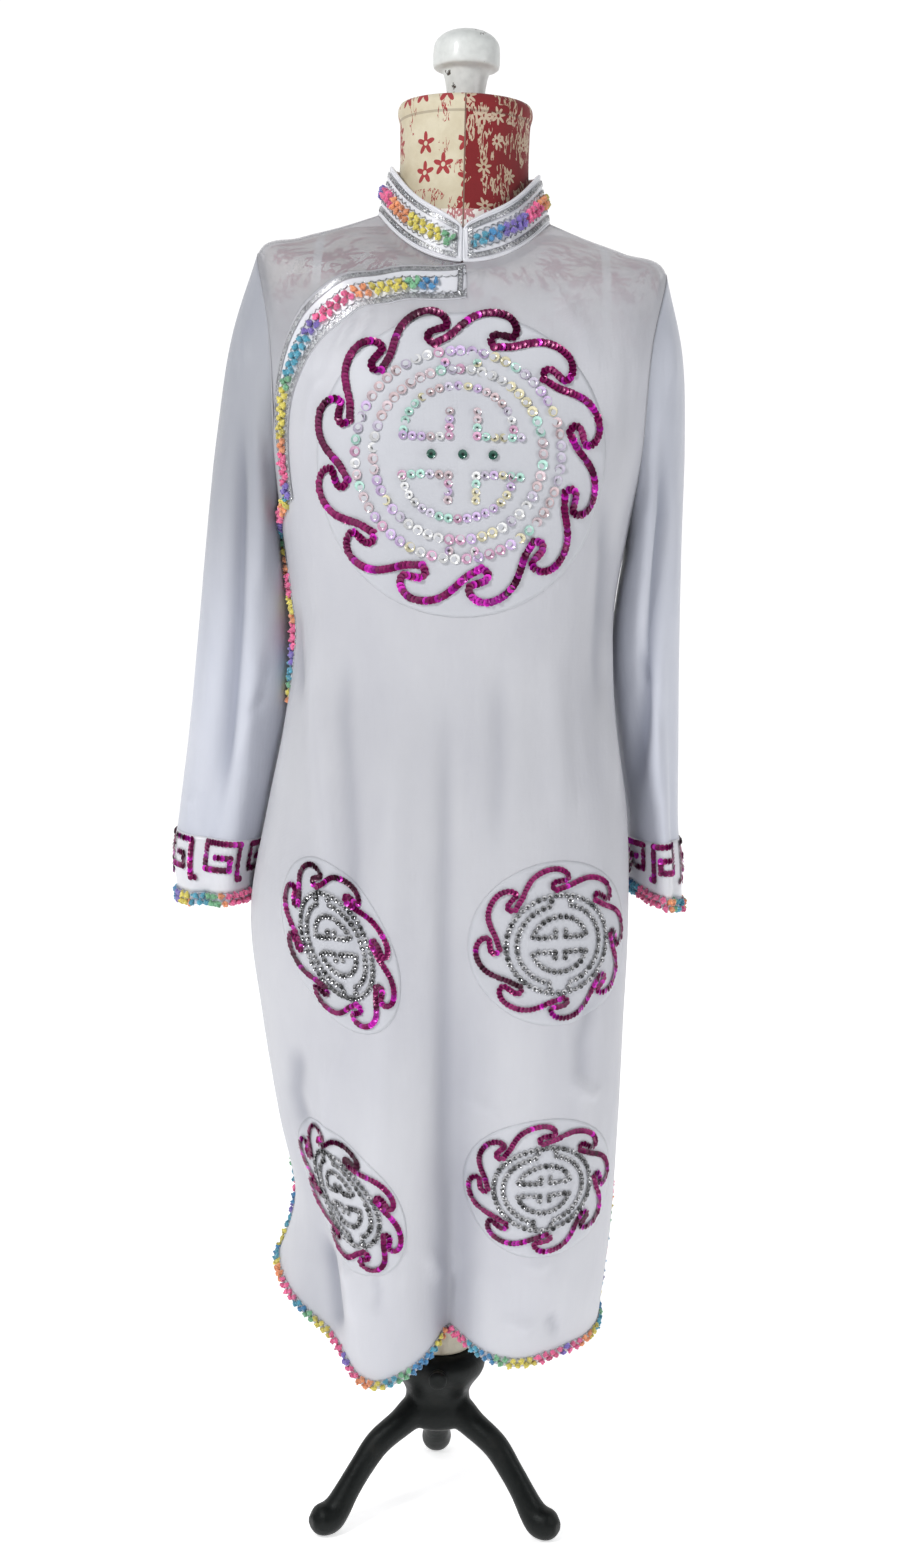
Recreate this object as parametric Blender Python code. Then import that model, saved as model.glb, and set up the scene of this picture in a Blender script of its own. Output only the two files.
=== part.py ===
"""A white Chinese performance robe on a dress form with a cast iron foot.

The robe is hollow, open at the neck, cuffs, hem and side slits, and hangs from the form's shoulders.
Metres, +Z up, -Y is the front. Right and left are the wearer's: right is -X and left is +X.
The origin is the middle of the bounding box on the floor.
"""
import math
from collections import namedtuple

import bmesh
import bpy
from mathutils import Vector

# Driving sizes of the cloth
WALL = 0.0012             # cloth thickness
SEAM = 0.00035            # gap between two panels that a seam joins, edge to edge
LAYER_GAP = 0.0004        # clearance under a piece that lies on a panel
TRIM_WALL = 0.0010        # thickness of bands, patches and edgings
EDGING_WIDTH = 0.011      # width of the scalloped edging
COLLAR_WALL = 0.0018
SLEEVE_SEAM = 0.0013      # from the armhole's edge to the sleeve's edge, which meet at an angle
HEM_Z = 0.20              # nominal height of the hem above the floor
SLIT_TOP_Z = 0.335
SHOULDER_TILT = 0.030     # the right shoulder stands higher, by this much of the width
TILT_FROM_Z = 1.05
CLOSURE_TOP_Z = 0.955     # the unfastened side closure, under the right arm
CLOSURE_FOOT_Z = 0.800
CHEST_PATCH = 0.272       # patch diameters
SMALL_PATCH = 0.146

# Sizes of the dress form
KNOB_TOP_Z = 1.415
NECK_TOP_Z = 1.346
NECK_RADIUS = 0.060
FORM_FOOT_Z = 0.585
HUB_TOP_Z = 0.166

# Sections of the robe, hem first. The last four lie over the shoulders, so a section's front, sides and
# back are at different heights. right, left, front and back are distances from the pole's axis, and
# square is the superellipse exponent, 2 for an ellipse.
Section = namedtuple("Section", "z_front z_side z_back right left front back square")
SECTIONS = (
    Section(0.180, 0.203, 0.188, 0.155, 0.154, 0.090, 0.118, 2.4),
    Section(0.300, 0.300, 0.300, 0.142, 0.163, 0.106, 0.124, 2.5),
    Section(0.400, 0.400, 0.400, 0.161, 0.167, 0.120, 0.128, 2.5),
    Section(0.500, 0.500, 0.500, 0.177, 0.169, 0.131, 0.130, 2.5),
    Section(0.600, 0.600, 0.600, 0.188, 0.171, 0.136, 0.129, 2.5),
    Section(0.700, 0.700, 0.700, 0.173, 0.167, 0.132, 0.118, 2.4),
    Section(0.800, 0.800, 0.800, 0.154, 0.152, 0.125, 0.104, 2.3),
    Section(0.885, 0.885, 0.885, 0.152, 0.149, 0.134, 0.105, 2.3),
    Section(0.965, 0.965, 0.965, 0.163, 0.160, 0.143, 0.110, 2.4),
    Section(1.045, 1.045, 1.045, 0.176, 0.176, 0.139, 0.112, 2.5),
    Section(1.098, 1.135, 1.120, 0.185, 0.185, 0.127, 0.110, 2.5),
    Section(1.138, 1.206, 1.182, 0.187, 0.187, 0.116, 0.102, 2.4),
    Section(1.162, 1.221, 1.216, 0.150, 0.150, 0.108, 0.094, 2.2),
    Section(1.180, 1.233, 1.237, 0.112, 0.113, 0.100, 0.084, 2.1),
    Section(1.196, 1.246, 1.253, 0.077, 0.079, 0.088, 0.073, 2.0),
)
ARMPIT, SHOULDER, NECK = 8, 11, 14   # places in SECTIONS
ARMHOLE_DEGREES = 21                 # how far the armhole cuts into the front and the back
ARMHOLE_STEPS = 9                    # steps round half an armhole, shared by the panels and the sleeves
ARMHOLE_PLACES = [(ARMPIT + SHOULDER) / 2 - (SHOULDER - ARMPIT) / 2 * math.cos(math.pi * i / ARMHOLE_STEPS)
                  for i in range(ARMHOLE_STEPS + 1)]
SHOULDER_PLACES = [11.5, 12.0, 12.5, 13.0, 13.5, 14.0]

# Folds of the robe. Angles are in degrees round the pole, 0 at the front and positive to the left.
# A fold starts at top_z, grows with the given power towards the hem, and is depth deep there, negative
# for a groove. lift raises the hem at the fold.
Fold = namedtuple("Fold", "top_angle hem_angle top_z power depth width lift")
FOLDS = (
    Fold(2, 9, 0.82, 1.4, -0.034, 15, 0.022),        # groove down the middle of the front
    Fold(-22, -32, 0.78, 1.2, 0.020, 17, -0.022),    # ridge beside it, to the right
    Fold(32, 40, 0.62, 1.2, 0.012, 14, -0.004),      # lower ridge, to the left
    Fold(-58, -66, 0.62, 1.0, -0.016, 20, 0.000),    # flat from the right ridge to the side slit
    Fold(60, 62, 0.80, 0.8, 0.008, 16, -0.004),      # corner at the left of the front
    Fold(-100, -100, 0.52, 3.0, 0.010, 24, 0.042),   # the slit's edge flares and its corner rides up
    Fold(128, 126, 0.74, 1.2, -0.016, 13, 0.003),    # grooves and ridges of the back
    Fold(156, 154, 0.74, 1.2, 0.011, 12, -0.002),
    Fold(-178, -180, 0.84, 1.2, -0.018, 14, 0.004),
    Fold(-150, -148, 0.78, 1.2, 0.012, 13, -0.002),
)

# Sleeves, from the armhole to the cuff: the inner and the outer edge as seen from the front, x counted
# outwards, the middle's y, half the depth, and how far the section is turned about its own middle.
Girth = namedtuple("Girth", "x_in z_in x_out z_out y half_depth turn")
RIGHT_SLEEVE = (
    Girth(0.165, 0.965, 0.190, 1.203, 0.000, 0.062, 0),
    Girth(0.164, 0.940, 0.213, 1.130, 0.002, 0.062, 0),
    Girth(0.157, 0.905, 0.2255, 1.045, 0.006, 0.060, 0),
    Girth(0.154, 0.860, 0.2350, 0.955, 0.014, 0.058, 4),
    Girth(0.1565, 0.805, 0.2445, 0.855, 0.024, 0.056, 8),
    Girth(0.169, 0.740, 0.2530, 0.765, 0.032, 0.055, 10),
    Girth(0.181, 0.680, 0.2620, 0.688, 0.036, 0.054, 12),
    Girth(0.189, 0.640, 0.2665, 0.642, 0.036, 0.055, 12),
    Girth(0.1925, 0.606, 0.2620, 0.600, 0.036, 0.057, 12),
)
LEFT_SLEEVE = (
    Girth(0.162, 0.965, 0.190, 1.203, 0.000, 0.062, 0),
    Girth(0.160, 0.940, 0.207, 1.130, 0.004, 0.062, 0),
    Girth(0.154, 0.905, 0.2120, 1.045, 0.010, 0.060, -2),
    Girth(0.151, 0.860, 0.2130, 0.955, 0.020, 0.059, -4),
    Girth(0.155, 0.805, 0.2150, 0.855, 0.032, 0.059, -6),
    Girth(0.165, 0.740, 0.2170, 0.765, 0.042, 0.060, -8),
    Girth(0.173, 0.685, 0.2190, 0.690, 0.048, 0.061, -8),
    Girth(0.175, 0.648, 0.2240, 0.645, 0.050, 0.062, -8),
    Girth(0.177, 0.620, 0.2260, 0.600, 0.050, 0.062, -8),
)
# Folds along a sleeve: the angle round it, 0 at its outer side and 90 at its front, the depth at the cuff.
SleeveFold = namedtuple("SleeveFold", "angle depth width")
SLEEVE_FOLDS = (
    SleeveFold(62, -0.008, 17),
    SleeveFold(100, 0.004, 16),
    SleeveFold(228, -0.007, 20),
)

# The closing edge of the front as seen from the front, from the neck to where it meets the armhole. From
# there the front's edge is the armhole's, down to the armpit.
PLACKET = ((0.006, 1.197), (-0.045, 1.191), (-0.088, 1.184), (-0.120, 1.172), (-0.144, 1.148),
           (-0.158, 1.116))
PLACKET_MEETS = 5         # the step of the armhole where it ends
BAND_TAIL = ((-0.1645, 1.075), (-0.1625, 1.030), (-0.156, 0.985))   # the band goes on beside the armhole
BAND_WIDTH = 0.036
BAND_TAIL_WIDTH = 0.020
BAND_INSET = 0.0022       # from the closing edge to the band's edge
BAND_PROBE = 0.01         # share of the track over which its direction is read

# Round patches: the middle as seen from the front.
Patch = namedtuple("Patch", "name x z diameter")
PATCHES = (
    Patch("roundel_chest", 0.004, 1.014, CHEST_PATCH),
    Patch("roundel_hip_left", 0.092, 0.598, SMALL_PATCH),
    Patch("roundel_hip_right", -0.096, 0.590, SMALL_PATCH),
    Patch("roundel_hem_left", 0.090, 0.362, SMALL_PATCH),
    Patch("roundel_hem_right", -0.083, 0.346, SMALL_PATCH),
)

# Turned and cast profiles, radius and height, from the top down.
SEAT_GAP = 0.0004         # between two hard pieces that touch
FINIAL = ((0.0, KNOB_TOP_Z), (0.012, 1.4135), (0.022, 1.4080), (0.0285, 1.4000), (0.0305, 1.3930),
          (0.0305, 1.3835), (0.0290, 1.3795), (0.0225, 1.3770), (0.0195, 1.3720), (0.0180, 1.3600),
          (0.0190, NECK_TOP_Z + SEAT_GAP), (0.0, NECK_TOP_Z + SEAT_GAP))
POLE = ((0.0, FORM_FOOT_Z - SEAT_GAP), (0.017, FORM_FOOT_Z - SEAT_GAP), (0.017, 0.268), (0.021, 0.252),
        (0.032, 0.242), (0.034, 0.228), (0.032, HUB_TOP_Z + SEAT_GAP), (0.0, HUB_TOP_Z + SEAT_GAP))
HUB = ((0.0, HUB_TOP_Z), (0.036, HUB_TOP_Z), (0.0440, 0.1600), (0.0465, 0.1520), (0.0440, 0.1420),
       (0.0350, 0.1290), (0.0310, 0.1180), (0.0335, 0.1020), (0.0300, 0.0900), (0.018, 0.0870), (0.0, 0.0870))
# A leg's middle line and thickness: distance from the axis, height, half its height, half its width.
Leg = namedtuple("Leg", "reach z half_height half_width")
LEG = (
    Leg(0.006, 0.1080, 0.0180, 0.0200),
    Leg(0.024, 0.1030, 0.0165, 0.0165),
    Leg(0.041, 0.0930, 0.0135, 0.0140),
    Leg(0.066, 0.0780, 0.0130, 0.0125),
    Leg(0.084, 0.0570, 0.0120, 0.0115),
    Leg(0.098, 0.0380, 0.0120, 0.0120),
    Leg(0.109, 0.0220, 0.0145, 0.0150),
    Leg(0.118, 0.0145, 0.0175, 0.0170),
    Leg(0.129, 0.0130, 0.0150, 0.0145),
    Leg(0.137, 0.0130, 0.0060, 0.0070),
)
LEG_ANGLES = (-60, 60, 180)
LEG_SIDES = 10
SPIN_STEPS = 22

SCREW = ((-0.0470, 0.0085), (-0.0540, 0.0085), (-0.0552, 0.0060))   # y and radius, from the hub outwards
SCREW_SIDES = 18
SCREW_Z = 0.151

CLOTH = (0.86, 0.86, 0.91)
SATIN = (0.92, 0.92, 0.94)
RAINBOW = (0.93, 0.55, 0.68)
IRON = (0.03, 0.04, 0.04)


def blend(values, place):
    """A smooth curve through values at 0, 1, 2..., read at place."""
    last = len(values) - 1
    place = min(max(place, 0.0), float(last))
    i = min(int(place), last - 1)
    u = place - i
    a, b = values[i], values[i + 1]
    slope_a = (b - values[i - 1]) / 2 if i > 0 else b - a
    slope_b = (values[i + 2] - a) / 2 if i + 2 <= last else b - a
    return (a * (1 + 2 * u) * (1 - u) ** 2 + slope_a * u * (1 - u) ** 2
            + b * u * u * (3 - 2 * u) - slope_b * u * u * (1 - u))


def smooth(x):
    """0 below 0, 1 above 1 and a soft step between."""
    x = min(max(x, 0.0), 1.0)
    return x * x * (3 - 2 * x)


def spread(first, last, count):
    return [first + (last - first) * i / (count - 1) for i in range(count)]


def read_table(table, place):
    """A row of a table at a place between its rows."""
    kind = type(table[0])
    return kind(*(blend([getattr(row, field) for row in table], place) for field in kind._fields))


def place_of(z):
    """The place in SECTIONS whose sides are at height z."""
    low, high = 0.0, float(NECK)
    heights = [s.z_side for s in SECTIONS]
    for _ in range(40):
        middle = (low + high) / 2
        if blend(heights, middle) < z:
            low = middle
        else:
            high = middle
    return (low + high) / 2


def turn_between(angle, other):
    """The turn from one angle to another, in degrees, the short way round."""
    return (angle - other + 180) % 360 - 180


def robe_point(angle, place, folded=True):
    """A point of the robe's middle surface."""
    s = read_table(SECTIONS, place)
    a = math.radians(angle)
    side = s.left if math.sin(a) > 0 else s.right
    depth = s.front if math.cos(a) > 0 else s.back
    reach = (abs(math.sin(a)) / side) ** s.square + (abs(math.cos(a)) / depth) ** s.square
    radius = reach ** (-1 / s.square)
    end = s.z_front if math.cos(a) > 0 else s.z_back
    z = s.z_side + (end - s.z_side) * math.cos(a) ** 2
    if folded:
        for f in FOLDS:
            grown = min(max((f.top_z - s.z_side) / (f.top_z - HEM_Z), 0.0), 1.0)
            middle = f.top_angle + (f.hem_angle - f.top_angle) * grown
            near = math.exp(-(turn_between(angle, middle) / f.width) ** 2)
            radius += f.depth * near * grown ** f.power
            z += f.lift * near * grown ** 3
    x = radius * math.sin(a)
    z -= SHOULDER_TILT * x * smooth((s.z_side - TILT_FROM_Z) / 0.12)
    return Vector((x, -radius * math.cos(a), z))


def robe_normal(angle, place, folded=True):
    """The outward direction at that point."""
    turn, step = 0.6, 0.03
    across = robe_point(angle + turn, place, folded) - robe_point(angle - turn, place, folded)
    up = robe_point(angle, place + step, folded) - robe_point(angle, place - step, folded)
    return across.cross(up).normalized()


def degrees_for(length, angle, place):
    """The turn that covers a length along a section."""
    across = robe_point(angle + 1, place) - robe_point(angle - 1, place)
    return 2 * length / across.length


def seen_at(x, z):
    """The angle and the place of the front's point that is seen at x and z."""
    angle, place = math.degrees(math.atan2(x, 0.12)), place_of(z)
    turn, step = 0.4, 0.02
    for _ in range(12):
        here = robe_point(angle, place)
        across = (robe_point(angle + turn, place) - robe_point(angle - turn, place)) / (2 * turn)
        up = (robe_point(angle, place + step) - robe_point(angle, place - step)) / (2 * step)
        det = across.x * up.z - across.z * up.x
        dx, dz = x - here.x, z - here.z
        angle += (dx * up.z - dz * up.x) / det
        place += (dz * across.x - dx * across.z) / det
        place = min(max(place, 0.05), NECK - 0.001)
    return angle, place


def nearest(target, angle, place):
    """The angle and the place of the robe's point nearest to a target, from a first guess."""
    turn, step = 0.4, 0.02
    for _ in range(6):
        miss = target - robe_point(angle, place)
        across = (robe_point(angle + turn, place) - robe_point(angle - turn, place)) / (2 * turn)
        up = (robe_point(angle, place + step) - robe_point(angle, place - step)) / (2 * step)
        aa, au, uu = across.dot(across), across.dot(up), up.dot(up)
        det = aa * uu - au * au
        angle += (miss.dot(across) * uu - miss.dot(up) * au) / det
        place += (aa * miss.dot(up) - au * miss.dot(across)) / det
    return angle, place


def armhole_cut(place):
    """How many degrees the armhole takes from a panel's edge at a place."""
    u = (place - ARMPIT) / (SHOULDER - ARMPIT)
    if u <= 0 or u >= 1:
        return 0.0
    return ARMHOLE_DEGREES * math.sqrt(1 - (2 * u - 1) ** 2)


def side_line(side, place):
    """The angle of the side seam or the shoulder seam, for side -1 (right) or 1 (left)."""
    fall = max(1 - place / ARMPIT, 0.0)
    return side * (90 + (14 if side < 0 else 6) * fall)


def edge_angle(side, place, front):
    """Where the front or the back panel ends at a side."""
    z = read_table(SECTIONS, place).z_side
    slit = smooth((SLIT_TOP_Z - z) / (SLIT_TOP_Z - HEM_Z))
    closure = 0.0
    if side < 0 and CLOSURE_FOOT_Z < z < CLOSURE_TOP_Z:
        closure = math.sin(math.pi * (z - CLOSURE_FOOT_Z) / (CLOSURE_TOP_Z - CLOSURE_FOOT_Z))
    line = side_line(side, place)
    inwards = armhole_cut(place) + degrees_for(SEAM / 2, line, place)
    if front:
        return line - side * (inwards + 8.0 * closure + 1.0 * slit)
    return line + side * (inwards + 1.0 * closure + 7.0 * slit)


CLOSING = [seen_at(x, z) for x, z in PLACKET]
CLOSING.append((edge_angle(-1, ARMHOLE_PLACES[PLACKET_MEETS], True), ARMHOLE_PLACES[PLACKET_MEETS]))
BAND = [seen_at(x, z) for x, z in PLACKET + BAND_TAIL]


def along_track(track, share):
    """Angle and place on a track, 0 at the neck and 1 at its end."""
    at = share * (len(track) - 1)
    return blend([p[0] for p in track], at), blend([p[1] for p in track], at)


def new_object(name, points, faces, colour, roughness=0.7, metallic=0.0):
    """One named object with its own material."""
    mesh = bpy.data.meshes.new(name)
    mesh.from_pydata([tuple(p) for p in points], [], faces)
    material = bpy.data.materials.new(name)
    material.use_nodes = True
    shader = material.node_tree.nodes["Principled BSDF"]
    shader.inputs["Base Color"].default_value = (*colour, 1.0)
    shader.inputs["Roughness"].default_value = roughness
    shader.inputs["Metallic"].default_value = metallic
    mesh.materials.append(material)
    mesh.shade_smooth()
    made = bpy.data.objects.new(name, mesh)
    bpy.context.scene.collection.objects.link(made)
    return made


def thicken(made, thick, out=0.0):
    """Gives a sheet its thickness, with its middle moved out from the sheet."""
    solid = made.modifiers.new("Thickness", "SOLIDIFY")
    solid.thickness = thick
    solid.offset = 2 * out / thick
    solid.use_even_offset = True
    return made


def grid_faces(points, columns, closed=False):
    """Triangles over a grid of points, row by row, each cell split along its shorter diagonal."""
    faces = []
    for i in range(len(points) // columns - 1):
        for j in range(columns if closed else columns - 1):
            k = (j + 1) % columns
            a, b = i * columns + j, i * columns + k
            c, d = b + columns, a + columns
            if (points[a] - points[c]).length < (points[b] - points[d]).length:
                faces += [(a, b, c), (a, c, d)]
            else:
                faces += [(a, b, d), (b, c, d)]
    return faces


def sheet(name, rows, colour, thick, out=0.0, closed=False):
    """A cloth piece from rows of points."""
    points = [p for row in rows for p in row]
    made = new_object(name, points, grid_faces(points, len(rows[0]), closed), colour)
    return thicken(made, thick, out)


LAYER_OUT = WALL / 2 + LAYER_GAP + TRIM_WALL / 2
CUTTER_DEPTH = 0.016
STRIP_CUTTER_DEPTH = 0.009


def laid_on(name, panel, outline, colour):
    """A piece that lies on a panel: the panel's own sheet moved out and cut to a cutter's outline."""
    tidy_normals(outline)
    outline.hide_render = True
    outline.display_type = "WIRE"
    points = [v.co.copy() for v in panel.data.vertices]
    faces = [tuple(f.vertices) for f in panel.data.polygons]
    made = thicken(new_object(name, points, faces, colour), TRIM_WALL, LAYER_OUT)
    cut = made.modifiers.new("Outline", "BOOLEAN")
    cut.operation = "INTERSECT"
    cut.object = outline
    return made


def cutter(name, points, faces, depth=CUTTER_DEPTH):
    """A thick copy of a patch of surface, which cuts out that patch."""
    made = new_object(name, points, faces, SATIN)
    solid = made.modifiers.new("Thickness", "SOLIDIFY")
    solid.thickness = depth
    solid.offset = 0.0
    return made


def sheet_cutter(name, rows, depth=CUTTER_DEPTH):
    points = [p for row in rows for p in row]
    return cutter(name, points, grid_faces(points, len(rows[0])), depth)


def row_between(start, end, count):
    """Points from one angle and place to another, evenly in both."""
    return [robe_point(start[0] + (end[0] - start[0]) * u, start[1] + (end[1] - start[1]) * u)
            for u in spread(0.0, 1.0, count)]


EDGING_PLACE = 0.10       # how far up the hem's edging reaches, as a place
BODY_PLACES = [0.0, 0.3] + spread(0.8, 7.4, 12) + [float(ARMPIT)]
FRONT_COLUMNS = 25
BACK_COLUMNS = 19


def build_front():
    """The outer front, from the hem up to the neck on the left and to the closing edge on the right."""
    rows = [row_between((edge_angle(-1, p, True), p), (edge_angle(1, p, True), p), FRONT_COLUMNS)
            for p in BODY_PLACES]
    upper = ARMHOLE_PLACES[1:] + SHOULDER_PLACES
    for i, place in enumerate(upper, 1):
        if i < PLACKET_MEETS:
            start = (edge_angle(-1, place, True), place)
        else:
            start = along_track(CLOSING, (len(upper) - i) / (len(upper) - PLACKET_MEETS))
        rows.append(row_between(start, (edge_angle(1, place, True), place), FRONT_COLUMNS))
    return sheet("front_panel", rows, CLOTH, WALL)


UNDER_DROP = 0.0021       # how far the under front lies below the outer one
UNDER_LAP = 5.0           # how far it reaches under the closing edge, in degrees


def build_under_front():
    """The right yoke, from the shoulder and the armhole to just under the closing edge."""
    rows = []
    side_places = ARMHOLE_PLACES[PLACKET_MEETS:] + SHOULDER_PLACES
    for i, side_place in enumerate(side_places):
        u = i / (len(side_places) - 1)
        angle, place = along_track(CLOSING, 1 - u)
        lap = UNDER_LAP * smooth((NECK - 0.15 - place) / 1.2)
        tucked = 1 - smooth(u * 4)
        row = []
        for v in spread(0.0, 1.0, 8):
            at = side_place + (place - side_place) * v * v
            turn = edge_angle(-1, side_place, True) * (1 - v) + (angle + lap) * v
            drop = UNDER_DROP * max(smooth(v * 1.8), tucked)
            row.append(robe_point(turn, at) - robe_normal(turn, at) * drop)
        rows.append(row)
    return sheet("front_under", rows, CLOTH, WALL)


def build_back():
    places = BODY_PLACES + ARMHOLE_PLACES[1:] + SHOULDER_PLACES
    rows = [row_between((edge_angle(1, p, False), p), (edge_angle(-1, p, False) + 360, p), BACK_COLUMNS)
            for p in places]
    return sheet("back_panel", rows, CLOTH, WALL)


def armhole_point(side, angle):
    """A point on the armhole's edge; angle 0 is the shoulder, 90 the front, 180 the armpit."""
    a = math.radians(angle)
    place = (ARMPIT + SHOULDER) / 2 + (SHOULDER - ARMPIT) / 2 * math.cos(a)
    return robe_point(side_line(side, place) - side * ARMHOLE_DEGREES * math.sin(a), place)


def sleeve_tube(side, table, angle, place):
    """A point of the free part of a sleeve, place counting the table's rows."""
    g = read_table(table, place)
    a = math.radians(angle)
    grown = smooth(place / (len(table) - 1))
    swell = 0.0
    for f in SLEEVE_FOLDS:
        swell += f.depth * grown * math.exp(-(turn_between(angle, f.angle) / f.width) ** 2)
    middle = Vector(((g.x_in + g.x_out) / 2, g.y, (g.z_in + g.z_out) / 2))
    across = Vector((g.x_out - g.x_in, 0, g.z_out - g.z_in)) / 2
    out, ahead = (1 + swell / across.length) * math.cos(a), (1 + swell / g.half_depth) * math.sin(a)
    turn = math.radians(g.turn)
    point = middle + across * out + Vector((0, -g.half_depth * ahead, 0))
    lean = g.half_depth * ahead * math.sin(turn)
    point += across.normalized() * -lean
    point.y -= across.length * out * math.sin(turn)
    return Vector((side * point.x, point.y, point.z))


SLEEVE_BLEND = 2.2        # place where the armhole's own shape has faded out


def sleeve_point(side, table, angle, place):
    """A point of the sleeve's middle surface, which starts at the armhole's edge."""
    point = sleeve_tube(side, table, angle, place)
    if place < SLEEVE_BLEND:
        outwards = sleeve_tube(side, table, angle, 0.3) - sleeve_tube(side, table, angle, 0.0)
        away = (Vector((side, 0, 0)) + outwards.normalized() * 0.3).normalized()
        start = armhole_point(side, angle) + away * SLEEVE_SEAM
        point += (start - sleeve_tube(side, table, angle, 0.0)) * (1 - smooth(place / SLEEVE_BLEND))
    return point


SLEEVE_COLUMNS = 2 * ARMHOLE_STEPS
CUFF_PLACE = 6.9          # place on the sleeve where the cuff's band starts
CUFF_ROWS = (CUFF_PLACE, 7.3, 7.66, 7.70, 8.0)


def build_sleeve(side, table, word):
    """A sleeve, with the band and the scalloped edging laid on its foot."""
    places = [0.0, 0.3, 0.7, 1.2, 1.8, 2.5, 3.3, 4.2, 5.1, 6.0] + list(CUFF_ROWS)
    angles = [360 * i / SLEEVE_COLUMNS for i in range(SLEEVE_COLUMNS)]
    if side < 0:
        angles.reverse()
    rows = [[sleeve_point(side, table, a, p) for a in angles] for p in reversed(places)]
    sheet(f"sleeve_{word}", rows, CLOTH, WALL, closed=True)
    edging, band = rows[:2], rows[2:len(CUFF_ROWS)]
    sheet(f"cuff_edging_{word}", edging, RAINBOW, TRIM_WALL, LAYER_OUT, closed=True)
    sheet(f"cuff_band_{word}", band, SATIN, TRIM_WALL, LAYER_OUT, closed=True)


COLLAR_GAP = 1.6          # half the opening at the collar's front, in degrees
COLLAR_LEAN = 0.0100      # how far its top leans in
COLLAR_LIFT = 0.0012      # from the neck seam to the collar's foot
COLLAR_HEIGHTS = (0.041, 0.042, 0.044)   # at the front, the side and the back
COLLAR_CORNER = 24.0      # degrees that the rounded front corner takes
COLLAR_DROP = 0.014       # how much lower the front corner is


def collar_point(angle, share):
    """A point of the collar's middle surface; share 0 is the neck seam and 1 the top edge."""
    front, side, back = COLLAR_HEIGHTS
    c = math.cos(math.radians(angle))
    height = side + ((front if c > 0 else back) - side) * c * c
    away = min(max((abs(angle) - COLLAR_GAP) / COLLAR_CORNER, 0.0), 1.0)
    height -= COLLAR_DROP * (1 - math.sqrt(1 - (1 - away) ** 2))
    outwards = Vector((math.sin(math.radians(angle)), -math.cos(math.radians(angle)), 0))
    return (robe_point(angle, NECK) + Vector((0, 0, COLLAR_LIFT + height * share))
            - outwards * COLLAR_LEAN * share)


def build_collar():
    """The stand collar, open at the front, its corners rounded."""
    near = [COLLAR_GAP + step for step in (0.0, 0.6, 2.0, 4.5, 8.5, 14.0)]
    angles = [-a for a in near] + spread(-24.0, -336.0, 27) + [a - 360 for a in reversed(near)]
    angles = [turn_between(a, 0) for a in reversed(angles)]
    rows = [[collar_point(a, u) for a in angles] for u in (0.0, 0.5, 1.0)]
    return sheet("collar", rows, SATIN, COLLAR_WALL)


def build_placket(panel):
    """The trimmed band along the front's closing edge."""
    rows = []
    for v in spread(0.0, 1.0, 3):
        row = []
        for share in spread(0.012, 1.0, 18):
            angle, place = along_track(BAND, share)
            ahead = along_track(BAND, min(share + BAND_PROBE, 1.0))
            behind = along_track(BAND, max(share - BAND_PROBE, 0.0))
            along = robe_point(*ahead) - robe_point(*behind)
            inwards = robe_normal(angle, place).cross(along).normalized()
            width = BAND_WIDTH + (BAND_TAIL_WIDTH - BAND_WIDTH) * smooth((share - 0.4) / 0.6)
            target = robe_point(angle, place) + inwards * (BAND_INSET + width * v)
            row.append(robe_point(*nearest(target, angle, place)))
        rows.append(row)
    laid_on("placket_band", panel, sheet_cutter("placket_cutter", rows), SATIN)


def build_edgings(front, back):
    """The scalloped edging round the hem, up the slits and down the open side closure."""
    hems = (("hem_edging_front", front, -112, 104), ("hem_edging_back", back, 90, 270))
    for name, panel, first, last in hems:
        angles = spread(first, last, 15)
        below = [robe_point(a, 0.0) - Vector((0, 0, EDGING_WIDTH / 2)) for a in angles]
        rows = [below] + [[robe_point(a, p) for a in angles] for p in (0.0, EDGING_PLACE)]
        laid_on(name, panel, sheet_cutter(f"{name}_cutter", rows), RAINBOW)
    Strip = namedtuple("Strip", "name side on_front foot top")
    slit_foot, slit_top = EDGING_PLACE + 0.07, place_of(SLIT_TOP_Z)
    closure_foot, closure_top = place_of(CLOSURE_FOOT_Z), place_of(CLOSURE_TOP_Z)
    strips = (
        Strip("slit_edging_front_right", -1, True, slit_foot, slit_top),
        Strip("slit_edging_front_left", 1, True, slit_foot, slit_top),
        Strip("slit_edging_back_right", -1, False, slit_foot, slit_top),
        Strip("slit_edging_back_left", 1, False, slit_foot, slit_top),
        Strip("closure_edging", -1, True, closure_foot, closure_top),
    )
    for s in strips:
        inwards = -s.side if s.on_front else s.side
        rows = []
        for place in spread(s.foot, s.top, 7):
            edge = edge_angle(s.side, place, s.on_front)
            start, end = edge - inwards * 0.8, edge + inwards * degrees_for(EDGING_WIDTH, edge, place)
            rows.append([robe_point(a, place) for a in sorted((start, (start + end) / 2, end))])
        outline = sheet_cutter(f"{s.name}_cutter", rows, STRIP_CUTTER_DEPTH)
        laid_on(s.name, front if s.on_front else back, outline, RAINBOW)


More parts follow.
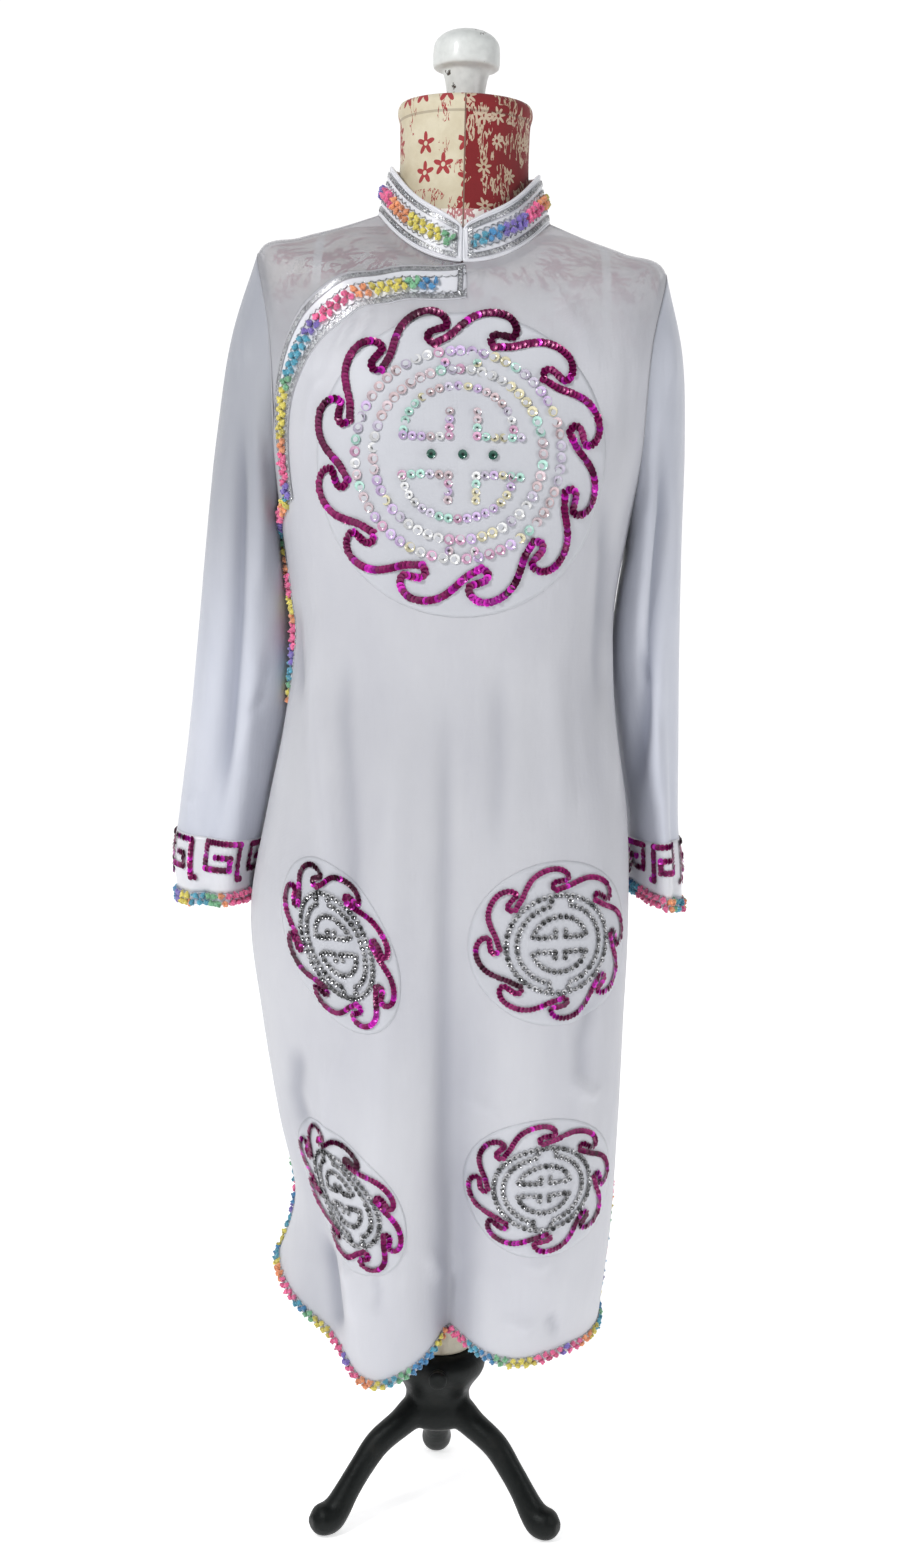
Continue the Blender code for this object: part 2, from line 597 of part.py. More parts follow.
def build_patches(panel):
    """Round patches of closer cloth behind the sequin work, laid on the front."""
    spokes = 26
    for patch in PATCHES:
        middle = seen_at(patch.x, patch.z)
        centre, normal = robe_point(*middle), robe_normal(*middle)
        right = Vector((0, 0, 1)).cross(normal).normalized()
        up = normal.cross(right)
        rings = 6 if patch.diameter > SMALL_PATCH else 4
        step = patch.diameter / 2 / rings
        lines = []
        for j in range(spokes):
            a = 2 * math.pi * j / spokes
            heading, at, here, line = right * math.cos(a) + up * math.sin(a), middle, centre, []
            for _ in range(rings):
                at = nearest(here + heading * step, *at)
                there = robe_point(*at)
                heading, here = (there - here).normalized(), there
                line.append(there)
            lines.append(line)
        points = [centre] + [lines[j][i] for i in range(rings) for j in range(spokes)]
        faces = [(0, 1 + j, 1 + (j + 1) % spokes) for j in range(spokes)]
        for i in range(rings - 1):
            low, high = 1 + i * spokes, 1 + (i + 1) * spokes
            for j in range(spokes):
                k = (j + 1) % spokes
                faces.append((low + j, high + j, high + k, low + k))
        laid_on(patch.name, panel, cutter(f"{patch.name}_cutter", points, faces), SATIN)


FORM_COLUMNS = 28
# The form follows the robe's unfolded sections, this far inside them, from its foot to its neck.
Inset = namedtuple("Inset", "place clear")
FORM_INSETS = (
    Inset(3.85, 0.050),
    Inset(4.40, 0.036),
    Inset(5.20, 0.022),
    Inset(6.10, 0.010),
    Inset(7.00, 0.008),
    Inset(8.00, 0.008),
    Inset(9.00, 0.008),
    Inset(10.00, 0.007),
    Inset(10.60, 0.0060),
    Inset(11.00, 0.0045),
    Inset(11.50, 0.0026),
    Inset(12.00, 0.0018),
    Inset(12.60, 0.0014),
    Inset(13.20, 0.0016),
    Inset(14.00, 0.0090),
)
NECK_RINGS = ((1.05, 1.258), (1.00, 1.275), (0.985, 1.295), (0.995, 1.318), (1.020, 1.332), (1.020, 1.3420),
              (0.995, NECK_TOP_Z))


def build_form():
    """The padded torso with its neck, whole and smooth inside the robe."""
    angles = [360 * i / FORM_COLUMNS for i in range(FORM_COLUMNS)]
    rows = []
    for inset in FORM_INSETS:
        row = []
        for a in angles:
            turn = turn_between(a, 0)
            under = UNDER_DROP * smooth(-turn / 15) * smooth((90 + turn) / 15) if inset.place > 10 else 0.0
            inwards = robe_normal(a, inset.place, folded=False) * (WALL / 2 + inset.clear + under)
            row.append(robe_point(a, inset.place, folded=False) - inwards)
        rows.append(row)
    for share, z in NECK_RINGS:
        radius = NECK_RADIUS * share
        rows.append([Vector((radius * math.sin(math.radians(a)), -radius * math.cos(math.radians(a)), z))
                     for a in angles])
    for point in rows[0]:
        point.z = FORM_FOOT_Z
    points = [p for row in rows for p in row]
    faces = grid_faces(points, FORM_COLUMNS, closed=True) + end_caps(points, FORM_COLUMNS)
    return new_object("form_body", points, faces, (0.80, 0.76, 0.66), 0.9)


def end_caps(points, columns):
    """The two flat ends of a closed tube of points."""
    last = len(points) - columns
    return [tuple(reversed(range(columns))), tuple(range(last, last + columns))]


def turned(name, profile, colour, roughness, metallic=0.0):
    """A turned solid from a profile of radius and height, top first, closed on the axis at both ends."""
    points = [Vector((0, 0, profile[0][1]))]
    for radius, z in profile[1:-1]:
        for i in range(SPIN_STEPS):
            a = 2 * math.pi * i / SPIN_STEPS
            points.append(Vector((radius * math.cos(a), radius * math.sin(a), z)))
    foot = len(points)
    points.append(Vector((0, 0, profile[-1][1])))
    faces = [(0, 1 + i, 1 + (i + 1) % SPIN_STEPS) for i in range(SPIN_STEPS)]
    high = 1
    for _ in range(len(profile) - 3):
        low = high + SPIN_STEPS
        for i in range(SPIN_STEPS):
            k = (i + 1) % SPIN_STEPS
            faces.append((high + i, low + i, low + k, high + k))
        high = low
    faces += [(foot, high + (i + 1) % SPIN_STEPS, high + i) for i in range(SPIN_STEPS)]
    made = new_object(name, points, faces, colour, roughness, metallic)
    tidy_normals(made)
    return made


def leg_mesh(heading):
    """One curved leg as a closed tube whose foot is flat on the floor."""
    a = math.radians(heading)
    outwards, across = Vector((math.sin(a), -math.cos(a), 0)), Vector((math.cos(a), math.sin(a), 0))
    middles = [outwards * s.reach + Vector((0, 0, s.z)) for s in LEG]
    points = []
    for i, s in enumerate(LEG):
        along = (middles[min(i + 1, len(LEG) - 1)] - middles[max(i - 1, 0)]).normalized()
        up = across.cross(along)
        up = up if up.z > 0 else -up
        for j in range(LEG_SIDES):
            b = 2 * math.pi * j / LEG_SIDES
            p = middles[i] + across * s.half_width * math.cos(b) + up * s.half_height * math.sin(b)
            p.z = max(p.z, 0.0)
            points.append(p)
    return points, grid_faces(points, LEG_SIDES, closed=True) + end_caps(points, LEG_SIDES)


def build_foot():
    """The cast iron foot: a hub and three legs in one casting."""
    base = turned("iron_foot", HUB, IRON, 0.5, 0.4)
    for heading in LEG_ANGLES:
        points, faces = leg_mesh(heading)
        leg = new_object(f"leg_{heading}", points, faces, IRON)
        tidy_normals(leg)
        leg.hide_render = True
        leg.display_type = "WIRE"
        joined = base.modifiers.new(f"Leg {heading}", "BOOLEAN")
        joined.operation = "UNION"
        joined.object = leg
    return base


def build_set_screw():
    """The screw that clamps the pole, its head on the front of the hub."""
    points = []
    for y, r in SCREW:
        for i in range(SCREW_SIDES):
            a = 2 * math.pi * i / SCREW_SIDES
            points.append(Vector((r * math.cos(a), y, SCREW_Z + r * math.sin(a))))
    faces = grid_faces(points, SCREW_SIDES, closed=True) + end_caps(points, SCREW_SIDES)
    made = new_object("set_screw", points, faces, (0.02, 0.02, 0.02), 0.5, 0.6)
    tidy_normals(made)
    return made


def tidy_normals(made):
    """Turns every face of a mesh outwards."""
    work = bmesh.new()
    work.from_mesh(made.data)
    bmesh.ops.recalc_face_normals(work, faces=work.faces)
    work.to_mesh(made.data)
    work.free()


def centre_on_origin():
    """Moves the model sideways so that the middle of its bounding box is on the Z axis."""
    bpy.context.view_layer.update()
    graph = bpy.context.evaluated_depsgraph_get()
    shown = [o for o in bpy.context.scene.objects if o.type == "MESH" and not o.hide_render]
    corners = [o.matrix_world @ Vector(c) for o in shown for c in o.evaluated_get(graph).bound_box]
    low = Vector((min(c.x for c in corners), min(c.y for c in corners), 0))
    high = Vector((max(c.x for c in corners), max(c.y for c in corners), 0))
    for o in bpy.context.scene.objects:
        o.location -= (low + high) / 2


def main():
    for old in list(bpy.data.objects):
        bpy.data.objects.remove(old)
    front = build_front()
    build_under_front()
    back = build_back()
    build_sleeve(-1, RIGHT_SLEEVE, "right")
    build_sleeve(1, LEFT_SLEEVE, "left")
    build_collar()
    build_placket(front)
    build_edgings(front, back)
    build_patches(front)
    tidy_normals(build_form())
    turned("finial", FINIAL, (0.85, 0.86, 0.84), 0.5)
    turned("pole", POLE, (0.78, 0.74, 0.62), 0.6)
    build_foot()
    build_set_screw()
    centre_on_origin()


main()
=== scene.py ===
import math
from collections import namedtuple

import bmesh
import bpy
import numpy as np
from mathutils import Matrix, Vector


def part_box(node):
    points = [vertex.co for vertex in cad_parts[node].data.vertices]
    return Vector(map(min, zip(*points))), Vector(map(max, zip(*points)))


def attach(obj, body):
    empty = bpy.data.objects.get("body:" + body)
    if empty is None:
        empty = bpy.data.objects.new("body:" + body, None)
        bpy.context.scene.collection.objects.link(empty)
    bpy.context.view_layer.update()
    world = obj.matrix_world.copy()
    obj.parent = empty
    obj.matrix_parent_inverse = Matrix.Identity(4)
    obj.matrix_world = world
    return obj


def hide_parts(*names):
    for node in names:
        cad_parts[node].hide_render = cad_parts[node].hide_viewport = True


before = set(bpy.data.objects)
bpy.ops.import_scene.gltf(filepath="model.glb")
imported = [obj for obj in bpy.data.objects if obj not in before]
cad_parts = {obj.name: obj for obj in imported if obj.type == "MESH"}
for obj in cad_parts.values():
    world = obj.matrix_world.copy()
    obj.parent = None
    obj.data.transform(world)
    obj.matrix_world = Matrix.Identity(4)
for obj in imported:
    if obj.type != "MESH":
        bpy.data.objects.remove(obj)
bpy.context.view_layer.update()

DICE = np.random.default_rng(7)
POLE_LOW, POLE_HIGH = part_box("pole")
AXIS = np.array(((POLE_LOW.x + POLE_HIGH.x) / 2, (POLE_LOW.y + POLE_HIGH.y) / 2, 0.0))

# Sizes of the garment, as cut in the CAD
HEM_Z, SLIT_TOP_Z = 0.20, 0.335
CLOSURE_TOP_Z, CLOSURE_FOOT_Z = 0.955, 0.800
SHOULDER_TILT, TILT_FROM_Z = 0.030, 1.05
CLOTH_THICK, PATCH_THICK = 0.0006, 0.0003
ON_CLOTH = CLOTH_THICK / 2 + PATCH_THICK / 2 + 0.00010   # where a layer on the cloth has its middle
SEWN_ON = ON_CLOTH + PATCH_THICK / 2 + 0.0009            # where sequins and trims on a layer lie

# Rings of the robe from hem to neck: heights at its front, sides and back, reach from the pole's axis to
# each side, front and back, and how square the ring is.
Section = namedtuple("Section", "z_front z_side z_back right left front back square")
SECTIONS = np.array((
    Section(0.180, 0.203, 0.188, 0.155, 0.154, 0.090, 0.118, 2.4),
    Section(0.300, 0.300, 0.300, 0.142, 0.163, 0.106, 0.124, 2.5),
    Section(0.400, 0.400, 0.400, 0.161, 0.167, 0.120, 0.128, 2.5),
    Section(0.500, 0.500, 0.500, 0.177, 0.169, 0.131, 0.130, 2.5),
    Section(0.600, 0.600, 0.600, 0.188, 0.171, 0.136, 0.129, 2.5),
    Section(0.700, 0.700, 0.700, 0.173, 0.167, 0.132, 0.118, 2.4),
    Section(0.800, 0.800, 0.800, 0.154, 0.152, 0.125, 0.104, 2.3),
    Section(0.885, 0.885, 0.885, 0.152, 0.149, 0.134, 0.105, 2.3),
    Section(0.965, 0.965, 0.965, 0.163, 0.160, 0.143, 0.110, 2.4),
    Section(1.045, 1.045, 1.045, 0.176, 0.176, 0.139, 0.112, 2.5),
    Section(1.098, 1.135, 1.120, 0.185, 0.185, 0.127, 0.110, 2.5),
    Section(1.138, 1.206, 1.182, 0.187, 0.187, 0.116, 0.102, 2.4),
    Section(1.162, 1.221, 1.216, 0.150, 0.150, 0.108, 0.094, 2.2),
    Section(1.180, 1.233, 1.237, 0.112, 0.113, 0.100, 0.084, 2.1),
    Section(1.196, 1.246, 1.253, 0.077, 0.079, 0.088, 0.073, 2.0),
))
ARMPIT, SHOULDER, NECK = 8, 11, 14
ARMHOLE_DEGREES = 21
ARMHOLE_STEPS = 9

# Long folds of the skirt: where each starts, how it turns and deepens to the hem, and how it lifts the hem.
Fold = namedtuple("Fold", "top_angle hem_angle top_z power depth width lift")
FOLDS = (
    Fold(2, 9, 0.82, 1.4, -0.034, 15, 0.022),
    Fold(-22, -32, 0.78, 1.2, 0.020, 17, -0.022),
    Fold(32, 40, 0.62, 1.2, 0.012, 14, -0.004),
    Fold(-58, -66, 0.62, 1.0, -0.016, 20, 0.000),
    Fold(60, 62, 0.80, 0.8, 0.008, 16, -0.004),
    Fold(-100, -100, 0.52, 3.0, 0.010, 24, 0.042),
    Fold(128, 126, 0.74, 1.2, -0.016, 13, 0.003),
    Fold(156, 154, 0.74, 1.2, 0.011, 12, -0.002),
    Fold(-178, -180, 0.84, 1.2, -0.018, 14, 0.004),
    Fold(-150, -148, 0.78, 1.2, 0.012, 13, -0.002),
)

# Rings of the sleeves from armhole to cuff: inner and outer edge seen from the front, then the middle's
# depth, half the depth of the ring and its turn.
Girth = namedtuple("Girth", "x_in z_in x_out z_out y half_depth turn")
RIGHT_SLEEVE = np.array((
    Girth(0.165, 0.965, 0.190, 1.203, 0.000, 0.062, 0),
    Girth(0.164, 0.940, 0.213, 1.130, 0.002, 0.062, 0),
    Girth(0.157, 0.905, 0.2255, 1.045, 0.006, 0.060, 0),
    Girth(0.154, 0.860, 0.2350, 0.955, 0.014, 0.058, 4),
    Girth(0.1565, 0.805, 0.2445, 0.855, 0.024, 0.056, 8),
    Girth(0.169, 0.740, 0.2530, 0.765, 0.032, 0.055, 10),
    Girth(0.181, 0.680, 0.2620, 0.688, 0.036, 0.054, 12),
    Girth(0.189, 0.640, 0.2665, 0.642, 0.036, 0.055, 12),
    Girth(0.1925, 0.606, 0.2620, 0.600, 0.036, 0.057, 12),
))
LEFT_SLEEVE = np.array((
    Girth(0.162, 0.965, 0.190, 1.203, 0.000, 0.062, 0),
    Girth(0.160, 0.940, 0.207, 1.130, 0.004, 0.062, 0),
    Girth(0.154, 0.905, 0.2120, 1.045, 0.010, 0.060, -2),
    Girth(0.151, 0.860, 0.2130, 0.955, 0.020, 0.059, -4),
    Girth(0.155, 0.805, 0.2150, 0.855, 0.032, 0.059, -6),
    Girth(0.165, 0.740, 0.2170, 0.765, 0.042, 0.060, -8),
    Girth(0.173, 0.685, 0.2190, 0.690, 0.048, 0.061, -8),
    Girth(0.175, 0.648, 0.2240, 0.645, 0.050, 0.062, -8),
    Girth(0.177, 0.620, 0.2260, 0.600, 0.050, 0.062, -8),
))
# Long folds of both sleeves: angle round the sleeve, depth, and width in degrees.
SLEEVE_FOLDS = ((62, -0.008, 17), (100, 0.004, 16), (228, -0.007, 20))
SLEEVE_BLEND = 2.2
SLEEVE_ROW = 0.040         # length of sleeve between two of its last rows
CUFF_PLACE, CUFF_FOOT = 6.34, 7.68

# The closing edge from the neck to the armhole, and how its band goes on down, as x and z seen from the front
PLACKET = ((0.006, 1.197), (-0.045, 1.191), (-0.088, 1.184), (-0.120, 1.172), (-0.144, 1.148),
           (-0.158, 1.116))
PLACKET_MEETS = 3.2
BAND_TAIL = ((-0.1645, 1.075), (-0.1625, 1.030), (-0.156, 0.985))
BAND_WIDTH, BAND_TAIL_WIDTH, BAND_INSET = 0.036, 0.020, 0.0022

COLLAR_GAP, COLLAR_LEAN, COLLAR_LIFT = 1.0, 0.0100, 0.0004
COLLAR_HEIGHTS = (0.041, 0.042, 0.044)
COLLAR_CORNER, COLLAR_DROP = 24.0, 0.014

# Round patches: the middle as seen from the front, and how the cloth's fullness changes each one's width
# and height and leans it.
Patch = namedtuple("Patch", "name x z radius wide tall lean")
PATCHES = (
    Patch("chest", 0.004, 1.018, 0.134, 1.0, 1.0, 0.0),
    Patch("hip_left", 0.101, 0.594, 0.073, 1.16, 1.03, 0.0),
    Patch("hip_right", -0.100, 0.589, 0.073, 0.75, 1.07, -0.38),
    Patch("hem_left", 0.094, 0.363, 0.073, 1.10, 0.93, 0.0),
    Patch("hem_right", -0.091, 0.348, 0.073, 0.80, 0.98, -0.38),
)

CREASE_DEPTH = 1.35        # how much deeper than listed the robe's creases lie

# Creases, each a soft trough (depth below 0) or ridge along a line seen from the front or the back.
Crease = namedtuple("Crease", "line depth width")
FRONT_CREASES = (
    Crease(((-0.006, 0.86), (-0.004, 0.70), (0.000, 0.50), (0.004, 0.26)), -0.0030, 0.009),
    Crease(((-0.050, 0.84), (-0.052, 0.66), (-0.060, 0.46), (-0.072, 0.28)), 0.0022, 0.013),
    Crease(((-0.118, 0.90), (-0.126, 0.81), (-0.112, 0.70), (-0.100, 0.63)), 0.0040, 0.010),
    Crease(((-0.094, 0.88), (-0.098, 0.79), (-0.086, 0.68), (-0.080, 0.52)), -0.0030, 0.010),
    Crease(((0.040, 0.86), (0.044, 0.76), (0.040, 0.66)), -0.0022, 0.011),
    Crease(((0.086, 0.87), (0.092, 0.77), (0.100, 0.69)), 0.0024, 0.012),
    Crease(((0.128, 1.02), (0.136, 0.94), (0.134, 0.85), (0.140, 0.76)), -0.0040, 0.009),
    Crease(((0.142, 0.90), (0.144, 0.80), (0.152, 0.70)), 0.0035, 0.009),
    Crease(((0.020, 0.68), (0.026, 0.58), (0.024, 0.44), (0.030, 0.30)), 0.0018, 0.010),
    Crease(((0.136, 0.56), (0.126, 0.50), (0.130, 0.44)), -0.0030, 0.010),
    Crease(((0.112, 0.47), (0.130, 0.452), (0.146, 0.446)), 0.0030, 0.006),
    Crease(((0.016, 0.452), (0.036, 0.438), (0.052, 0.434)), 0.0016, 0.006),
    Crease(((0.074, 0.290), (0.092, 0.284), (0.112, 0.290)), 0.0024, 0.006),
    Crease(((0.058, 0.236), (0.074, 0.226), (0.090, 0.222)), 0.0030, 0.006),
    Crease(((0.100, 0.240), (0.108, 0.224), (0.112, 0.208)), -0.0030, 0.006),
    Crease(((-0.134, 0.50), (-0.140, 0.44), (-0.126, 0.39)), -0.0040, 0.010),
    Crease(((-0.106, 0.50), (-0.108, 0.43), (-0.098, 0.37)), 0.0024, 0.008),
    Crease(((-0.112, 0.310), (-0.104, 0.270), (-0.098, 0.225), (-0.097, 0.200)), -0.0055, 0.007),
    Crease(((-0.090, 0.292), (-0.080, 0.258), (-0.078, 0.222)), 0.0040, 0.008),
    Crease(((-0.064, 0.288), (-0.056, 0.262), (-0.060, 0.236)), -0.0024, 0.006),
    Crease(((-0.012, 0.296), (-0.006, 0.278), (-0.002, 0.258)), 0.0030, 0.005),
    Crease(((0.010, 0.300), (0.014, 0.280), (0.012, 0.262)), 0.0020, 0.004),
    Crease(((-0.090, 1.148), (-0.100, 1.132), (-0.114, 1.108)), 0.0016, 0.0035),
    Crease(((-0.074, 1.152), (-0.082, 1.138), (-0.094, 1.118)), 0.0014, 0.0035),
    Crease(((-0.108, 1.134), (-0.118, 1.110), (-0.126, 1.082)), -0.0016, 0.0040),
    Crease(((-0.122, 1.100), (-0.130, 1.070), (-0.134, 1.035)), 0.0018, 0.0050),
    Crease(((0.012, 1.190), (0.014, 1.180), (0.013, 1.168)), 0.0016, 0.0030),
    Crease(((0.078, 1.176), (0.104, 1.140), (0.124, 1.090)), 0.0016, 0.0080),
    Crease(((0.148, 1.130), (0.150, 1.080), (0.146, 1.030)), -0.0022, 0.0060),
    Crease(((-0.150, 0.90), (-0.146, 0.85), (-0.138, 0.79)), -0.0040, 0.008),
    Crease(((-0.156, 0.83), (-0.152, 0.77), (-0.160, 0.70)), 0.0030, 0.008),
)
BACK_CREASES = (
    Crease(((0.010, 1.12), (0.006, 0.95), (0.010, 0.78), (0.004, 0.55)), -0.0026, 0.012),
    Crease(((0.070, 1.10), (0.060, 0.98), (0.066, 0.84)), -0.0020, 0.010),
    Crease(((-0.084, 1.12), (-0.070, 0.99), (-0.064, 0.86), (-0.072, 0.70)), -0.0026, 0.010),
    Crease(((-0.110, 0.96), (-0.118, 0.86), (-0.104, 0.72), (-0.108, 0.50)), 0.0032, 0.011),
    Crease(((0.112, 0.94), (0.120, 0.84), (0.116, 0.66)), 0.0030, 0.011),
    Crease(((0.092, 0.66), (0.098, 0.50), (0.090, 0.34)), -0.0030, 0.012),
    Crease(((0.040, 0.60), (0.044, 0.44), (0.038, 0.28)), 0.0024, 0.011),
    Crease(((-0.030, 0.58), (-0.036, 0.42), (-0.030, 0.27)), -0.0024, 0.010),
    Crease(((0.128, 0.46), (0.110, 0.438), (0.088, 0.432)), 0.0020, 0.007),
    Crease(((-0.132, 0.45), (-0.118, 0.40), (-0.122, 0.33)), -0.0030, 0.009),
    Crease(((-0.062, 0.30), (-0.070, 0.262), (-0.066, 0.225)), 0.0030, 0.007),
    Crease(((0.060, 0.272), (0.074, 0.246), (0.076, 0.216)), -0.0030, 0.007),
    Crease(((0.130, 1.08), (0.122, 1.03), (0.128, 0.97)), -0.0024, 0.007),
    Crease(((-0.132, 1.09), (-0.126, 1.03), (-0.130, 0.98)), -0.0020, 0.007),
)
RIGHT_SLEEVE_CREASES = (
    Crease(((-0.197, 1.10), (-0.199, 0.98), (-0.202, 0.88), (-0.212, 0.76), (-0.222, 0.67)), -0.0090, 0.0085),
    Crease(((-0.182, 1.060), (-0.178, 0.97), (-0.180, 0.89)), 0.0040, 0.007),
    Crease(((-0.190, 1.160), (-0.196, 1.130), (-0.194, 1.090)), 0.0026, 0.006),
    Crease(((-0.214, 1.060), (-0.222, 0.98), (-0.226, 0.90)), 0.0020, 0.008),
    Crease(((-0.232, 0.92), (-0.238, 0.84), (-0.246, 0.77)), -0.0022, 0.007),
    Crease(((-0.184, 0.86), (-0.188, 0.80), (-0.200, 0.73)), 0.0035, 0.007),
    Crease(((-0.172, 0.82), (-0.184, 0.795), (-0.194, 0.788)), -0.0026, 0.005),
    Crease(((-0.236, 0.712), (-0.246, 0.700), (-0.256, 0.702)), 0.0014, 0.005),
)
LEFT_SLEEVE_CREASES = (
    Crease(((0.186, 1.080), (0.190, 0.98), (0.184, 0.88), (0.178, 0.76), (0.176, 0.67)), -0.0085, 0.0080),
    Crease(((0.176, 1.020), (0.174, 0.93), (0.168, 0.84)), 0.0040, 0.007),
    Crease(((0.184, 1.160), (0.192, 1.130), (0.194, 1.080)), 0.0024, 0.006),
    Crease(((0.202, 1.020), (0.204, 0.93), (0.202, 0.84)), 0.0022, 0.007),
    Crease(((0.198, 0.82), (0.200, 0.75), (0.202, 0.70)), -0.0026, 0.006),
    Crease(((0.170, 0.86), (0.180, 0.83), (0.186, 0.82)), -0.0026, 0.005),
)
BACK_SLEEVE_CREASES = (
    Crease(((-0.196, 1.080), (-0.206, 0.95), (-0.214, 0.80), (-0.226, 0.68)), -0.0060, 0.009),
    Crease(((-0.184, 0.98), (-0.190, 0.88), (-0.200, 0.78)), 0.0030, 0.008),
    Crease(((-0.222, 0.96), (-0.232, 0.85), (-0.240, 0.76)), 0.0024, 0.008),
    Crease(((0.190, 1.070), (0.194, 0.93), (0.190, 0.80), (0.196, 0.68)), -0.0060, 0.009),
    Crease(((0.178, 0.96), (0.180, 0.86), (0.184, 0.76)), 0.0030, 0.008),
    Crease(((0.204, 0.90), (0.206, 0.80), (0.210, 0.72)), 0.0020, 0.007),
)


# Surfaces
def blend(values, place):
    """A smooth curve through values at 0, 1, 2..., read at each place."""
    values = np.asarray(values, float)
    last = len(values) - 1
    place = np.clip(np.asarray(place, float), 0.0, last)
    i = np.minimum(place.astype(int), last - 1)
    u = (place - i).reshape(place.shape + (1,) * (values.ndim - 1))
    k = i.reshape(u.shape)
    a, b = values[i], values[i + 1]
    slope_a = np.where(k > 0, (b - values[np.maximum(i - 1, 0)]) / 2, b - a)
    slope_b = np.where(k + 2 <= last, (values[np.minimum(i + 2, last)] - a) / 2, b - a)
    return (a * (1 + 2 * u) * (1 - u) ** 2 + slope_a * u * (1 - u) ** 2
            + b * u * u * (3 - 2 * u) - slope_b * u * u * (1 - u))


def smooth(x):
    x = np.clip(x, 0.0, 1.0)
    return x * x * (3 - 2 * x)


def unit(v):
    return v / np.maximum(np.linalg.norm(v, axis=-1, keepdims=True), 1e-12)


def turn_between(angle, other):
    return (angle - other + 180) % 360 - 180


def robe(angle, place, folded=True):
    """Points of the robe's middle surface, without creases."""
    angle, place = np.broadcast_arrays(np.asarray(angle, float), np.asarray(place, float))
    z_front, z_side, z_back, right, left, front, back, square = np.moveaxis(blend(SECTIONS, place), -1, 0)
    s, c = np.sin(np.radians(angle)), np.cos(np.radians(angle))
    side, depth = np.where(s > 0, left, right), np.where(c > 0, front, back)
    radius = ((np.abs(s) / side) ** square + (np.abs(c) / depth) ** square) ** (-1 / square)
    z = z_side + (np.where(c > 0, z_front, z_back) - z_side) * c ** 2
    for f in FOLDS if folded else ():
        grown = np.clip((f.top_z - z_side) / (f.top_z - HEM_Z), 0.0, 1.0)
        middle = f.top_angle + (f.hem_angle - f.top_angle) * grown
        near = np.exp(-(turn_between(angle, middle) / f.width) ** 2)
        radius = radius + f.depth * near * grown ** f.power
        z = z + f.lift * near * grown ** 3
    x = radius * s
    z = z - SHOULDER_TILT * x * smooth((z_side - TILT_FROM_Z) / 0.12)
    return np.stack((x, -radius * c, z), axis=-1)


def normal_of(surface, angle, place, turn=0.6, step=0.03, sign=1):
    """Outward directions of a surface at angles and places."""
    across = surface(angle + turn, place) - surface(angle - turn, place)
    up = surface(angle, place + step) - surface(angle, place - step)
    return unit(np.cross(across, up)) * sign


def crease_push(points, normals, front, back):
    """How far creases move points along their normals."""
    push = np.zeros(points.shape[:-1])
    for creases, toward in ((front, -1), (back, 1)):
        facing = smooth((toward * normals[..., 1] + 0.05) / 0.45)
        for c in creases:
            line = np.asarray(c.line)
            steps = len(line) - 1
            best, along = np.full(push.shape, 9.0), np.zeros(push.shape)
            for i in range(steps):
                a, d = line[i], line[i + 1] - line[i]
                px, pz = points[..., 0] - a[0], points[..., 2] - a[1]
                t = np.clip((px * d[0] + pz * d[1]) / (d @ d), 0.0, 1.0)
                away = np.hypot(px - t * d[0], pz - t * d[1])
                along = np.where(away < best, (i + t) / steps, along)
                best = np.minimum(best, away)
            ends = smooth(along / 0.3) * smooth((1 - along) / 0.3)
            push += c.depth * np.exp(-(best / c.width) ** 2) * ends * facing
    return push


def cloth_push(base, normals):
    """How far the robe's creases move its cloth; at the shoulders it lies on the form."""
    push = CREASE_DEPTH * crease_push(base, normals, FRONT_CREASES, BACK_CREASES)
    held = smooth((base[..., 2] - 1.0) / 0.1)
    return np.where(push < 0, push * (1 - 0.6 * held), push)


def cloth(angle, place, out=0.0):
    """Points of the robe's creased cloth, moved out by a length."""
    angle, place = np.broadcast_arrays(np.asarray(angle, float), np.asarray(place, float))
    base, normals = robe(angle, place), normal_of(robe, angle, place)
    return base + normals * (cloth_push(base, normals) + out)[..., None]


def painted_crease_shade(push, fold=0.0):
    """Tints of cloth with painted shade, darker and bluer in its troughs, and painted light, a little lighter
    on its ridges.
    """
    dark = 0.42 * smooth(-push / 0.009) + 0.26 * smooth(-fold / 0.024)
    light = 0.05 * smooth(push / 0.006) + 0.03 * smooth(fold / 0.018)
    return 1 + light[..., None] - dark[..., None] * (1.0, 0.97, 0.86)


# Painted shade of the robe's cloth: darker troughs of its creases and folds, lighter ridges, and a tone by
# height.
def robe_painted_shade(angle, place):
    base, plain = robe(angle, place), robe(angle, place, False)
    fold = np.linalg.norm(base[..., :2], axis=-1) - np.linalg.norm(plain[..., :2], axis=-1)
    # tone is painted shade by height: darkest about the waist and a little lighter near the hem.
    tone = np.interp(base[..., 2], (0.30, 0.60, 0.78, 1.02, 1.12), (1.02, 0.97, 0.89, 0.93, 0.98))
    return painted_crease_shade(cloth_push(base, normal_of(robe, angle, place)), fold) * tone[..., None]


def degrees_for(length, angle, place):
    across = robe(angle + 1, place) - robe(angle - 1, place)
    return 2 * length / np.linalg.norm(across, axis=-1)


def places_for(length, angle, place):
    up = robe(angle, place + 0.05) - robe(angle, place)
    return 0.05 * length / np.linalg.norm(up, axis=-1)


DENSE_PLACES = np.linspace(0, NECK, 1400)
DENSE_HEIGHTS = blend(SECTIONS, DENSE_PLACES)[:, 1]


def place_of(z):
    return np.interp(z, DENSE_HEIGHTS, DENSE_PLACES)


def slopes(angle, place, turn=0.4, step=0.02):
    """How the robe's points move for each degree and for each place."""
    across = (robe(angle + turn, place) - robe(angle - turn, place)) / (2 * turn)
    return across, (robe(angle, place + step) - robe(angle, place - step)) / (2 * step)


